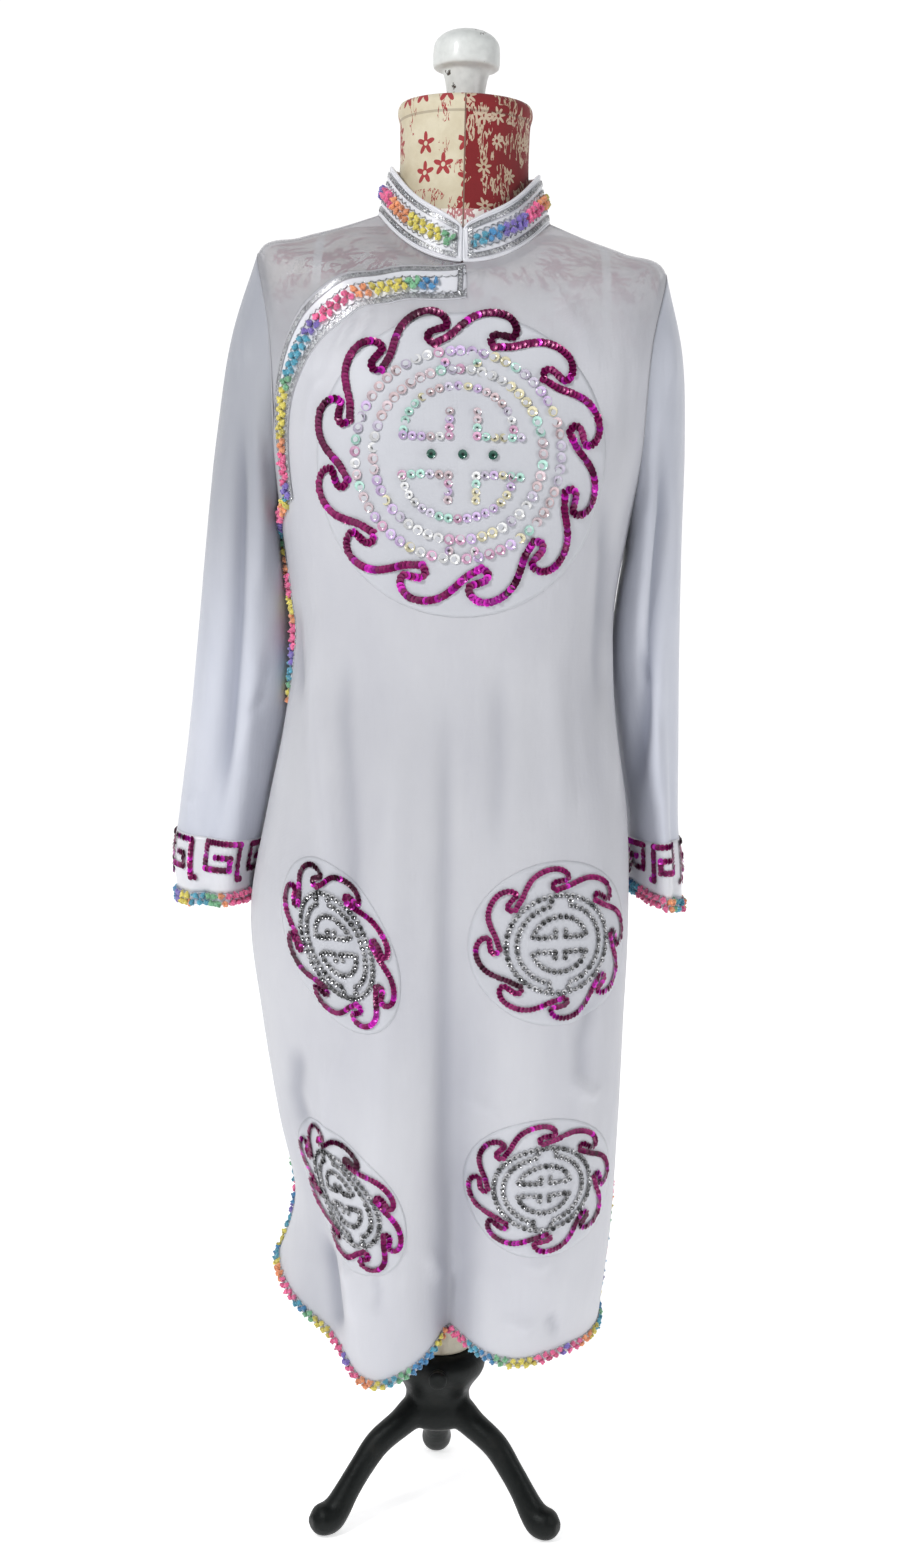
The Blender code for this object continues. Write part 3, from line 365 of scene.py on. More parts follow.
def seen(x, z):
    """Angles and places of the front's points that are seen at x and z."""
    x, z = np.asarray(x, float), np.asarray(z, float)
    angle, place = np.degrees(np.arctan2(x, 0.12)), place_of(z)
    for _ in range(12):
        here = robe(angle, place)
        across, up = slopes(angle, place)
        det = across[..., 0] * up[..., 2] - across[..., 2] * up[..., 0]
        dx, dz = x - here[..., 0], z - here[..., 2]
        angle = angle + (dx * up[..., 2] - dz * up[..., 0]) / det
        place = np.clip(place + (dz * across[..., 0] - dx * across[..., 2]) / det, 0.05, NECK - 0.001)
    return angle, place


def nearest(target, angle, place):
    """Angles and places of the robe's points nearest to targets."""
    for _ in range(5):
        miss = target - robe(angle, place)
        across, up = slopes(angle, place)
        aa, au, uu = ((p * q).sum(-1) for p, q in ((across, across), (across, up), (up, up)))
        ma, mu = (miss * across).sum(-1), (miss * up).sum(-1)
        det = aa * uu - au * au
        angle = angle + (ma * uu - mu * au) / det
        place = place + (aa * mu - au * ma) / det
    return angle, place


def walk(patch_angle, patch_place, right, up, steps=8):
    """Angles and places reached from a point of the robe by going right and up on the cloth."""
    right, up = np.asarray(right, float), np.asarray(up, float)
    start = robe(patch_angle, patch_place)
    n = normal_of(robe, np.float64(patch_angle), np.float64(patch_place))
    x_way = unit(np.cross((0.0, 0.0, 1.0), n))
    y_way = np.cross(n, x_way)
    far = np.hypot(right, up)
    heading = unit(right[..., None] * x_way + up[..., None] * y_way)
    here = np.broadcast_to(start, heading.shape).copy()
    angle, place = np.full(far.shape, float(patch_angle)), np.full(far.shape, float(patch_place))
    for _ in range(steps):
        angle, place = nearest(here + heading * (far / steps)[..., None], angle, place)
        there = robe(angle, place)
        moved = there - here
        heading = np.where(np.linalg.norm(moved, axis=-1, keepdims=True) > 1e-9, unit(moved), heading)
        here = there
    return angle, place


def armhole_cut(place):
    u = np.clip((place - ARMPIT) / (SHOULDER - ARMPIT), 0.0, 1.0)
    return ARMHOLE_DEGREES * np.sqrt(np.maximum(1 - (2 * u - 1) ** 2, 0.0))


def side_line(side, place):
    return side * (90 + (14 if side < 0 else 6) * np.maximum(1 - place / ARMPIT, 0.0))


def edge_angle(side, place, front):
    """Where the front or the back panel ends at a side."""
    z = blend(SECTIONS, place)[..., 1]
    slit = smooth((SLIT_TOP_Z - z) / (SLIT_TOP_Z - HEM_Z))
    closure = 0.0
    if side < 0:
        closure = np.sin(math.pi * np.clip((z - CLOSURE_FOOT_Z) / (CLOSURE_TOP_Z - CLOSURE_FOOT_Z), 0, 1))
    line, inwards = side_line(side, place), armhole_cut(place) + 0.05
    if front:
        return line - side * (inwards + 8.0 * closure + 1.0 * slit)
    return line + side * (inwards + 1.0 * closure + 7.0 * slit)


def armhole_place(step):
    return (ARMPIT + SHOULDER) / 2 - (SHOULDER - ARMPIT) / 2 * np.cos(math.pi * step / ARMHOLE_STEPS)


def upper_place(step):
    """The side's place at a step above the armpit: round the armhole, then over the shoulder."""
    return np.where(step < ARMHOLE_STEPS, armhole_place(step), SHOULDER + (step - ARMHOLE_STEPS) / 2)


UPPER_STEPS = ARMHOLE_STEPS + 6
CLOSING = np.stack(seen(*np.array(PLACKET + BAND_TAIL[:1]).T), axis=1)
MEETING = armhole_place(PLACKET_MEETS)
CLOSING = np.vstack((CLOSING, (edge_angle(-1, MEETING, True), MEETING)))
BAND = np.stack(seen(*np.array(PLACKET + BAND_TAIL).T), axis=1)


def armhole_point(side, angle):
    a = np.radians(angle)
    place = (ARMPIT + SHOULDER) / 2 + (SHOULDER - ARMPIT) / 2 * np.cos(a)
    return robe(side_line(side, place) - side * ARMHOLE_DEGREES * np.sin(a), place)


def sleeve_tube(side, angle, place):
    table = RIGHT_SLEEVE if side < 0 else LEFT_SLEEVE
    x_in, z_in, x_out, z_out, y, half_depth, turn = np.moveaxis(blend(table, place), -1, 0)
    grown = smooth(place / (len(table) - 1))
    swell = sum(depth * grown * np.exp(-(turn_between(angle, at) / width) ** 2)
                for at, depth, width in SLEEVE_FOLDS)
    across = np.stack(((x_out - x_in) / 2, np.zeros_like(y), (z_out - z_in) / 2), axis=-1)
    length = np.linalg.norm(across, axis=-1)
    out = (1 + swell / length) * np.cos(np.radians(angle))
    ahead = (1 + swell / half_depth) * np.sin(np.radians(angle)) * half_depth
    lean = np.sin(np.radians(turn))
    point = np.stack(((x_in + x_out) / 2, y - ahead - length * out * lean, (z_in + z_out) / 2), axis=-1)
    point = point + across * out[..., None] - unit(across) * (ahead * lean)[..., None]
    return point * (side, 1, 1)


def sleeve_base(side, angle, place):
    angle, place = np.broadcast_arrays(np.asarray(angle, float), np.asarray(place, float))
    zero = np.zeros_like(place)
    point, root = sleeve_tube(side, angle, place), sleeve_tube(side, angle, zero)
    start = armhole_point(side, angle) + np.array((side * 0.0004, 0.0, 0.0))
    return point + (start - root) * (1 - smooth(place / SLEEVE_BLEND))[..., None]


def sleeve_creases(side, angle, place):
    """A sleeve's points and normals without creases, and how far creases move them."""
    angle, place = np.broadcast_arrays(np.asarray(angle, float), np.asarray(place, float))
    surface = lambda a, p: sleeve_base(side, a, p)
    base = surface(angle, place)
    normals = normal_of(surface, angle, np.clip(place, 0.03, 7.97), turn=2.0, sign=side)
    front = RIGHT_SLEEVE_CREASES if side < 0 else LEFT_SLEEVE_CREASES
    push = crease_push(base, normals, front, BACK_SLEEVE_CREASES)
    return base, normals, push * smooth((place - 0.15) / 0.8)


def sleeve(side, angle, place, out=0.0):
    """Points of a sleeve's creased cloth; angle 0 is its outer side and 90 its front."""
    base, normals, push = sleeve_creases(side, angle, place)
    return base + normals * (push + out)[..., None]


def collar(angle, share, out=0.0):
    """Points of the stand collar; share 0 is the neck seam and 1 the top edge."""
    angle, share = np.broadcast_arrays(turn_between(np.asarray(angle, float), 0), np.asarray(share, float))
    front, side, back = COLLAR_HEIGHTS
    c = np.cos(np.radians(angle))
    height = side + (np.where(c > 0, front, back) - side) * c * c
    away = np.clip((np.abs(angle) - COLLAR_GAP) / COLLAR_CORNER, 0.0, 1.0)
    height = height - COLLAR_DROP * (1 - np.sqrt(1 - (1 - away) ** 2))
    outwards = np.stack((np.sin(np.radians(angle)), -c, np.zeros_like(c)), axis=-1)
    lifted = np.stack((np.zeros_like(c), np.zeros_like(c), COLLAR_LIFT + height * share), axis=-1)
    return robe(angle, NECK) + lifted - outwards * (COLLAR_LEAN * share - out)[..., None]


# Meshes
def grid(rows, columns, closed=False):
    """Quads over a grid of points, row by row."""
    i, j = np.meshgrid(np.arange(rows - 1), np.arange(columns if closed else columns - 1), indexing="ij")
    low, high, k = i * columns, (i + 1) * columns, (j + 1) % columns
    return np.stack((low + j, low + k, high + k, high + j), axis=-1).reshape(-1, 4)


class Heap:
    """Gathers many small pieces into one mesh."""

    def __init__(self):
        self.points, self.faces, self.tints, self.count = [], [], [], 0

    def add(self, points, faces, tint=(1, 1, 1)):
        points = np.asarray(points, float).reshape(-1, 3)
        self.faces += [tuple(f) for f in (np.asarray(faces) + self.count).tolist()]
        self.points.append(points)
        tint = np.broadcast_to(np.asarray(tint, float), (len(points), 3))
        self.tints.append(np.hstack((tint, np.ones((len(points), 1)))))
        self.count += len(points)
        return self

    def make(self, name, material, slot, *nodes):
        mesh = bpy.data.meshes.new(name)
        mesh.from_pydata((np.vstack(self.points) + AXIS).tolist(), [], self.faces)
        layer = mesh.color_attributes.new("Tint", "FLOAT_COLOR", "POINT")
        layer.data.foreach_set("color", np.vstack(self.tints).ravel())
        mesh.materials.append(material)
        mesh.shade_smooth()
        made = bpy.data.objects.new(name, mesh)
        bpy.context.scene.collection.objects.link(made)
        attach(made, "root")
        if nodes:
            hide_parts(*nodes)
        return made


def thicken(made, thick):
    solid = made.modifiers.new("Thickness", "SOLIDIFY")
    solid.thickness = thick
    solid.offset = 0.0
    solid.use_even_offset = True
    return made


def stamp(heap, template, faces, origins, frames, tints, shade=None):
    """Copies of a small shape, each with its own place, axes and tint, darkened by shade point by point."""
    points = origins[:, None, :] + np.einsum("tk,nkc->ntc", template, frames)
    shifts = np.arange(len(origins))[:, None, None] * len(template)
    tints = np.repeat(np.broadcast_to(tints, (len(origins), 3)), len(template), axis=0)
    if shade is not None:
        tints = tints * np.tile(shade, len(origins))[:, None]
    heap.add(points, (faces[None] + shifts).reshape(-1, faces.shape[-1]), tints)


def disc_shape(radius, dish, sides=10, shades=(0.35, 0.8, 1.0, 1.0)):
    """A round sequin, dished by a depth, its sewing hole dark in the middle."""
    a = 2 * np.pi * np.arange(sides) / sides
    ring = np.stack((np.cos(a), np.sin(a)), axis=1)
    rings = [np.hstack((ring * radius * r, np.full((sides, 1), z))) for r, z in
             ((0.15, -dish), (0.30, -dish), (0.62, -dish * 0.8), (1.0, 0.0))]
    faces = []
    for k in range(3):
        for i in range(sides):
            j = (i + 1) % sides
            p, q, r, s = k * sides + i, k * sides + j, (k + 1) * sides + j, (k + 1) * sides + i
            faces += [(p, s, r), (p, r, q)]
    faces += [(0, i, i + 1) for i in range(1, sides - 1)]
    return np.vstack(rings), np.array(faces), np.repeat(shades, sides)


def ball_shape(subdivisions):
    work = bmesh.new()
    bmesh.ops.create_icosphere(work, subdivisions=subdivisions, radius=1.0)
    points = np.array([v.co[:] for v in work.verts])
    faces = np.array([[v.index for v in f.verts] for f in work.faces])
    work.free()
    return points, faces


CORE, TUFT = ball_shape(2), ball_shape(1)


def run_of(points):
    """The length of a line up to each of its points."""
    return np.concatenate(([0.0], np.cumsum(np.linalg.norm(np.diff(points, axis=0), axis=1))))


def read_at(values, run, at):
    """Values along a line, read at lengths along it."""
    return np.stack([np.interp(at, run, values[:, k]) for k in range(values.shape[1])], axis=1)


def even(points, pitch):
    """Points evenly spaced along a smooth curve through points."""
    points = np.asarray(points, float)
    dense = blend(points, np.linspace(0, len(points) - 1, 24 * len(points)))
    run = run_of(dense)
    return read_at(dense, run, np.linspace(0, run[-1], max(round(run[-1] / pitch), 1) + 1))


def along_of(points):
    return unit(np.gradient(points, axis=0))


def tube(heap, points, radius, normals, tint=(1, 1, 1), sides=6):
    """A thread along points, whose normals point away from the cloth."""
    along = along_of(points)
    across = unit(np.cross(normals, along))
    up = np.cross(along, across)
    a = 2 * np.pi * np.arange(sides) / sides
    radius = np.broadcast_to(np.asarray(radius, float), (len(points),))
    ring = across[:, None] * np.cos(a)[None, :, None] + up[:, None] * np.sin(a)[None, :, None]
    faces = grid(len(points), sides, closed=True)
    heap.add(points[:, None] + ring * radius[:, None, None], faces, tint)


def sequins(heap, points, normals, shape, tints, tilt=0.30, jitter=0.14):
    """Sequins along a line, each lapping over the next."""
    along = along_of(points)
    lean = tilt + DICE.normal(0, jitter, len(points))
    roll = DICE.normal(0, jitter, len(points))
    across = unit(np.cross(normals, along))
    n = unit(normals - along * lean[:, None] + across * roll[:, None])
    x_way = unit(along - n * (along * n).sum(-1, keepdims=True))
    frames = np.stack((x_way, np.cross(n, x_way), n), axis=1)
    template, faces, shade = shape
    stamp(heap, template, faces, points, frames, tints, shade)


# Materials
class Shader:
    """A Principled material with helpers that add nodes to it."""

    def __init__(self, name, **sockets):
        self.material = bpy.data.materials.new(name)
        self.material.use_nodes = True
        self.tree = self.material.node_tree
        self.main = self.tree.nodes["Principled BSDF"]
        for socket, value in sockets.items():
            self.main.inputs[socket.replace("_", " ")].default_value = value

    def node(self, kind, settings=(), **inputs):
        made = self.tree.nodes.new(kind)
        for key, value in dict(settings).items():
            setattr(made, key, value)
        for key, value in inputs.items():
            numbered = key[0] == "i" and key[1:].isdigit()
            self.put(made.inputs[int(key[1:]) if numbered else key.replace("_", " ")], value)
        return made

    def put(self, socket, value):
        if isinstance(value, bpy.types.NodeSocket):
            self.tree.links.new(value, socket)
        else:
            socket.default_value = value

    def maths(self, operation, a, b=0.0, clamp=False):
        made = self.node("ShaderNodeMath", {"operation": operation, "use_clamp": clamp}, i0=a, i1=b)
        return made.outputs[0]

    def times(self, a, b, clamp=False):
        return self.maths("MULTIPLY", a, b, clamp)

    def minus(self, a, b, clamp=False):
        return self.maths("SUBTRACT", a, b, clamp)

    def near(self, value, middle, reach):
        """1 where a value lies within a reach of a middle, 0 elsewhere."""
        return self.maths("LESS_THAN", self.maths("ABSOLUTE", self.minus(value, middle)), reach)

    def spot(self):
        return self.node("ShaderNodeTexCoord").outputs["Object"]

    def stretch(self, vector, x, y, z):
        made = self.node("ShaderNodeMapping", i0=vector)
        made.inputs["Scale"].default_value = (x, y, z)
        return made.outputs[0]

    def noise(self, vector, x, y, z, detail=3.0, rough=0.5):
        """Noise with its own scale along each axis."""
        spread = self.stretch(vector, x, y, z)
        made = self.node("ShaderNodeTexNoise", Vector=spread, Scale=1.0, Detail=detail, Roughness=rough)
        return made.outputs[0]

    def ramp(self, value, stops):
        made = self.node("ShaderNodeValToRGB", Fac=value)
        elements = made.color_ramp.elements
        while len(elements) < len(stops):
            elements.new(0.5)
        for element, (at, colour) in zip(elements, stops):
            element.position = at
            element.color = (*colour, 1.0) if hasattr(colour, "__len__") else (colour, colour, colour, 1.0)
        return made.outputs["Color"]

    def mix(self, share, a, b, way="MIX"):
        made = self.node("ShaderNodeMix", {"data_type": "RGBA", "blend_type": way})
        for socket, value in zip((made.inputs[0], made.inputs[6], made.inputs[7]), (share, a, b)):
            self.put(socket, (*value, 1.0) if isinstance(value, tuple) and len(value) == 3 else value)
        return made.outputs[2]

    def tint(self):
        return self.node("ShaderNodeVertexColor", {"layer_name": "Tint"}).outputs["Color"]

    def bump(self, height, distance, strength=1.0, under=None):
        made = self.node("ShaderNodeBump", Height=height, Distance=distance, Strength=strength)
        if under is not None:
            self.put(made.inputs["Normal"], under)
        return made.outputs[0]

    def done(self, colour=None, normal=None, **links):
        if colour is not None:
            self.put(self.main.inputs["Base Color"], colour)
        if normal is not None:
            self.put(self.main.inputs["Normal"], normal)
        for socket, value in links.items():
            self.put(self.main.inputs[socket.replace("_", " ")], value)
        return self.material


SHEER_Z = 1.10            # the cloth turns more sheer above this height


def woven(name, colour, shade, alpha, roughness=0.50, sheen=0.22, crease=0.0012, sheer=0.0):
    """White cloth with a fine weave, puckers and an uneven tone, more sheer by a share at the shoulders."""
    s = Shader(name, Roughness=roughness, Sheen_Weight=sheen, Sheen_Roughness=0.4, Alpha=alpha)
    spot = s.spot()
    warp, weft = (s.node("ShaderNodeTexWave", {"bands_direction": way}, Vector=spot, Scale=260.0,
                         Distortion=1.5, Detail=1.0).outputs[1] for way in ("X", "Z"))
    puckers, rumples = s.noise(spot, 34, 34, 9), s.noise(spot, 90, 90, 60, 2.0)
    normal = s.bump(s.maths("ADD", warp, weft), 0.00008, 0.35)
    normal = s.bump(rumples, crease * 0.35, 0.5, normal)
    normal = s.bump(puckers, crease, 0.8, normal)
    tone = s.ramp(s.noise(spot, 11, 11, 5, 4.0, 0.55), ((0.35, shade), (0.65, colour)))
    if sheer:
        height = s.node("ShaderNodeSeparateXYZ", Vector=spot).outputs[2]
        high = s.times(s.minus(height, SHEER_Z), 12.0, clamp=True)
        s.put(s.main.inputs["Alpha"], s.minus(alpha, s.times(high, sheer)))
    # The Tint colour multiplies the cloth's colour; on the robe, patches and sleeves it carries their painted
    # shade.
    return s.done(s.mix(1.0, tone, s.tint(), "MULTIPLY"), normal)


ROBE_CLOTH = woven("Robe cloth", (0.70, 0.705, 0.745), (0.64, 0.645, 0.695), 0.86, crease=0.0022, sheer=0.44)
SLEEVE_CLOTH = woven("Sleeve cloth", (0.68, 0.70, 0.775), (0.62, 0.645, 0.73), 0.92, crease=0.0022)
# The under cloth is the robe's white cloth coloured darker: painted shade of the layer under the closing
# flap. The seam ridges use it too.
SHADED_UNDER_CLOTH = woven("Under cloth", (0.52, 0.525, 0.56), (0.47, 0.475, 0.515), 0.80, sheer=0.42)
PATCH_CLOTH = woven("Patch cloth", (0.61, 0.62, 0.66), (0.57, 0.58, 0.625), 1.0, crease=0.0008)
SATIN = woven("Satin", (0.78, 0.785, 0.82), (0.71, 0.715, 0.76), 1.0, 0.32, 0.15, 0.0006)


def glitter(name, roughness, metallic, **sockets):
    s = Shader(name, Roughness=roughness, Metallic=metallic, **sockets)
    grain = s.noise(s.spot(), 700, 700, 700, 2.0)
    return s.done(s.tint(), s.bump(grain, 0.0003, 0.25))


SEQUIN = glitter("Sequin", 0.34, 0.35, Coat_Weight=0.12, Coat_Roughness=0.12)
CUP = glitter("Cup sequin", 0.24, 0.15, Coat_Weight=0.35, Coat_Roughness=0.06)
STEEL = glitter("Steel sequin", 0.24, 0.85, Coat_Weight=0.3, Coat_Roughness=0.08)
SILVER = glitter("Silver thread", 0.30, 0.9)


def fuzzy():
    s = Shader("Rainbow chenille", Roughness=0.85, Sheen_Weight=0.6, Sheen_Roughness=0.5)
    spot = s.spot()
    fibres = s.noise(spot, 1500, 1500, 1500, 3.0, 0.7)
    tone = s.mix(0.30, s.tint(), s.ramp(fibres, ((0.3, 0.45), (0.7, 1.0))), "MULTIPLY")
    return s.done(tone, s.bump(fibres, 0.0010, 0.9))


CHENILLE = fuzzy()
# Colours of the rainbow trim: teal, blue, violet, pink, orange, yellow and green.
RAINBOW = {
    "t": (0.09, 0.42, 0.58), "b": (0.06, 0.28, 0.56), "v": (0.24, 0.17, 0.60), "p": (1.00, 0.16, 0.38),
    "o": (1.00, 0.38, 0.17), "y": (0.86, 0.74, 0.13), "g": (0.22, 0.55, 0.30),
}
BLOCK = 0.0115            # usual length of trim in one colour


def trim(heap, points, normals, colours, size=0.0033, sway=0.0028, pitch=0.0040):
    """Chenille tufts along a line, to alternate sides, in blocks of colour."""
    run = run_of(points)
    at = np.arange(pitch / 2, run[-1], pitch)
    origin, n = read_at(points, run, at), unit(read_at(normals, run, at))
    across = unit(np.cross(n, along_of(origin)))
    side = np.where(np.arange(len(at)) % 2, 1.0, -1.0) * sway
    origin = origin + across * side[:, None]
    cuts = np.cumsum(DICE.uniform(0.6, 1.7, 120)) * BLOCK
    tint = np.array([RAINBOW[colours[i % len(colours)]] for i in np.searchsorted(cuts, at)])
    tint = tint * DICE.uniform(0.85, 1.15, (len(at), 1))
    basis = np.stack((along_of(origin), across, n), axis=1)
    stamp(heap, *CORE, origin, basis * size * 0.86, tint)
    for _ in range(9):
        shift = DICE.normal(0, 1, (len(at), 3))
        shift = unit(shift) * DICE.uniform(0.55, 1.0, (len(at), 1)) * size
        own = DICE.uniform(0.34, 0.52, (len(at), 1, 1)) * size
        stamp(heap, *TUFT, origin + shift, basis * own, tint * DICE.uniform(0.7, 1.25, (len(at), 1)))


def thread_wave(heap, points, normals, height, period=0.0070, radius=0.00060, zigzag=True,
                tint=(0.50, 0.51, 0.53)):
    """A silver thread that zigzags or scallops along a line."""
    run = run_of(points)
    steps = 2 if zigzag else 8
    at = np.arange(0.0, run[-1], period / steps)
    path, n = read_at(points, run, at), unit(read_at(normals, run, at))
    across = unit(np.cross(n, along_of(path)))
    phase = np.arange(len(at)) / steps
    swing = np.where(np.arange(len(at)) % 2, 0.5, -0.5) if zigzag else np.abs(np.sin(np.pi * phase)) - 0.5
    # Each point's brightness differs at random: painted glints along the silver thread.
    glints = np.repeat(np.asarray(tint) * DICE.uniform(0.45, 1.6, (len(path), 1)), 5, axis=0)
    tube(heap, path + across * (swing * height)[:, None], radius, n, glints, sides=5)


BRIGHT_SILVER, DULL_SILVER = (0.80, 0.81, 0.83), (0.50, 0.50, 0.53)


def braid(heap, points, normals, width=0.0036):
    """A flat silver braid: two threads that zigzag against each other between two straight ones."""
    across = unit(np.cross(normals, along_of(points)))
    for skip in (0, 2):
        thread_wave(heap, points[skip:], normals[skip:], width, 0.0038, 0.00062, tint=BRIGHT_SILVER)
    for sign in (-1, 1):
        tube(heap, points + across * (sign * width * 0.55), 0.00050, normals, DULL_SILVER, sides=5)


def line_on(surface, angles, places, out, pitch=0.0012, sign=1, turn=0.4, step=0.02):
    """Points and normals of a surface along a track of angles and places."""
    rough = surface(angles, places, out)
    run = run_of(rough)
    at = np.linspace(0, run[-1], max(int(run[-1] / pitch), 2))
    angles, places = np.interp(at, run, angles), np.interp(at, run, places)
    return surface(angles, places, out), normal_of(surface, angles, places, turn, step, sign)


# The robe's cloth
def panel(rows):
    """Points from (start angle, start place, end angle, end place) rows and a number of columns."""
    start_a, start_p, end_a, end_p, columns = rows
    u = np.linspace(0, 1, columns)[None, :]
    return start_a[:, None] * (1 - u) + end_a[:, None] * u, start_p[:, None] * (1 - u) + end_p[:, None] * u


def make_sheet(name, points, material, slot, node, thick=CLOTH_THICK, closed=False, tints=np.ones(3)):
    heap = Heap().add(points, grid(points.shape[0], points.shape[1], closed), tints.reshape(-1, 3))
    return thicken(heap.make(name, material, slot, node), thick)


def front_cloth():
    body, upper = np.linspace(0, ARMPIT, 155), np.linspace(0, UPPER_STEPS, 68)[1:]
    side = np.concatenate((body, upper_place(upper)))
    start_a, start_p = edge_angle(-1, side, True), side.copy()
    closing = upper >= PLACKET_MEETS
    share = (UPPER_STEPS - upper[closing]) / (UPPER_STEPS - PLACKET_MEETS)
    track = blend(CLOSING, share * (len(CLOSING) - 1))
    start_a[len(body):][closing], start_p[len(body):][closing] = track[:, 0], track[:, 1]
    angle, place = panel((start_a, start_p, edge_angle(1, side, True), side, 124))
    made = make_sheet("front_cloth", cloth(angle, place), ROBE_CLOTH, "robe_cloth", "front_panel",
                      tints=robe_painted_shade(angle, place))


def under_cloth():
    steps = np.linspace(PLACKET_MEETS, UPPER_STEPS, 60)
    side = upper_place(steps)
    u = (steps - PLACKET_MEETS) / (UPPER_STEPS - PLACKET_MEETS)
    track = blend(CLOSING, (1 - u) * (len(CLOSING) - 1))
    lap = 5.0 * smooth((NECK - 0.15 - track[:, 1]) / 1.2)
    v = np.linspace(0, 1, 40)[None, :]
    place = side[:, None] + (track[:, 1] - side)[:, None] * v * v
    angle = edge_angle(-1, side, True)[:, None] * (1 - v) + (track[:, 0] + lap)[:, None] * v
    drop = 0.0017 * np.maximum(smooth(v * 1.8), (1 - smooth(u * 4))[:, None])
    made = make_sheet("under_cloth", cloth(angle, place, -drop), SHADED_UNDER_CLOTH, "robe_cloth", "front_under")


def back_cloth():
    upper = np.linspace(0, UPPER_STEPS, 50)[1:]
    side = np.concatenate((np.linspace(0, ARMPIT, 138), upper_place(upper)))
    angle, place = panel((edge_angle(1, side, False), side, edge_angle(-1, side, False) + 360, side, 102))
    made = make_sheet("back_cloth", cloth(angle, place), ROBE_CLOTH, "robe_cloth", "back_panel",
                      tints=robe_painted_shade(angle, place))


ROUND_SLEEVE = np.linspace(0, 360, 85)[:-1]      # angles of the columns round a sleeve


def sleeve_cloth(side, word):
    angle, place = np.meshgrid(ROUND_SLEEVE * side, np.linspace(8, 0, 126))
    base, normals, push = sleeve_creases(side, angle, place)
    # tone is painted shade: each sleeve darkens towards its top, the right sleeve much more than the left.
    tone = 1 - (0.42 if side < 0 else 0.14) * smooth((base[..., 2] - 0.80) / 0.22)
    made = make_sheet(f"sleeve_cloth_{word}", base + normals * push[..., None], SLEEVE_CLOTH, "robe_cloth",
                      f"sleeve_{word}", closed=True, tints=painted_crease_shade(push) * tone[..., None])


def collar_cloth():
    near = COLLAR_GAP + 25 * np.linspace(0, 1, 40) ** 2
    angles = np.concatenate((near, np.linspace(27.5, 332.5, 150), 360 - near[::-1]))
    angle, share = np.meshgrid(angles, np.linspace(0, 1, 16))
    made = make_sheet("collar_cloth", collar(angle, share), SATIN, "satin", "collar", 0.0013)
    heap = Heap()
    foot, top = np.full(len(angles), 0.0), np.full(len(angles), 1.0)
    down = np.linspace(1.0, 0.0, 14)[1:-1]
    last_end, first_end = np.full(len(down), angles[-1]), np.full(len(down), angles[0])
    ring_a = np.concatenate((angles, last_end, angles[::-1], first_end))
    ring_s = np.concatenate((top, down, foot, down[::-1]))
    ring = collar(ring_a, ring_s)
    ring = np.vstack((ring, ring[:1]))
    tube(heap, ring, 0.0015, unit(ring * (1, 1, 0)), sides=8)
    heap.make("collar_piping", SATIN, "satin")
    tufts, silver = Heap(), Heap()
    out = 0.0012
    for first, last, colours in ((-3.5, -178, "gyyyooppvvbtgyopp"), (3.5, 178, "tbvvppooyygtbvpp")):
        track = np.linspace(first, last, 400)
        for share in (0.13, 0.86):
            braid(silver, *line_on(collar, track, np.full(400, share), out))
        for share in (0.29, 0.69):
            row = line_on(collar, track, np.full(400, share), out)
            thread_wave(silver, *row, 0.0022, radius=0.0005, zigzag=False)
        trim(tufts, *line_on(collar, track[4:], np.full(396, 0.49), out + 0.0014), colours)
        rise = np.linspace(0.12, 0.86, 40)
        braid(silver, *line_on(collar, np.full(40, first * 1.3), rise, out))
    tufts.make("collar_tufts", CHENILLE, "rainbow_trim")
    silver.make("collar_silver", SILVER, "satin")


def band_at(share, across):
    """Angles and places on the placket band: along it from the neck, and across it in metres."""
    last = len(BAND) - 1
    share = share + 0.48 * across * (1 - smooth(share / 0.30))
    spot, ahead, behind = (blend(BAND, np.clip(share + d, 0, 1) * last) for d in (0.0, 0.01, -0.01))
    along = robe(ahead[..., 0], ahead[..., 1]) - robe(behind[..., 0], behind[..., 1])
    here = robe(spot[..., 0], spot[..., 1])
    n = normal_of(robe, spot[..., 0], spot[..., 1])
    inwards = unit(np.cross(n, along))
    return nearest(here + inwards * across[..., None], spot[..., 0], spot[..., 1])


def band_width(share):
    return BAND_WIDTH + (BAND_TAIL_WIDTH - BAND_WIDTH) * smooth((share - 0.4) / 0.6)


def band_line(share, v, out):
    """A line along the placket band, at a share of its width."""
    angle, place = band_at(share, BAND_INSET + band_width(share) * v)
    return line_on(cloth, angle, place, SEWN_ON + out)


def placket():
    share, v = np.meshgrid(np.linspace(0.012, 1.0, 130), np.linspace(0, 1, 16))
    angle, place = band_at(share, BAND_INSET + band_width(share) * v)
    made = make_sheet("placket_cloth", cloth(angle, place, ON_CLOTH), SATIN, "satin", "placket_band",
                      PATCH_THICK)
    silver, tufts = Heap(), Heap()
    share = np.linspace(0.012, 1.0, 300)
    for v in (0.09, 0.91):
        braid(silver, *band_line(share, v, -0.0003))
    for v in (0.33, 0.79):
        thread_wave(silver, *band_line(share, v, -0.0003), 0.0020, radius=0.0005, zigzag=False)
    braid(silver, *band_line(np.full(40, 0.022), np.linspace(0.1, 0.9, 40), -0.0003))
    trim(tufts, *band_line(share[14:], 0.56, 0.0012), "bgyyoopppvttttgyyyoppvttgyo")
    silver.make("placket_silver", SILVER, "satin")
    tufts.make("placket_tufts", CHENILLE, "rainbow_trim")


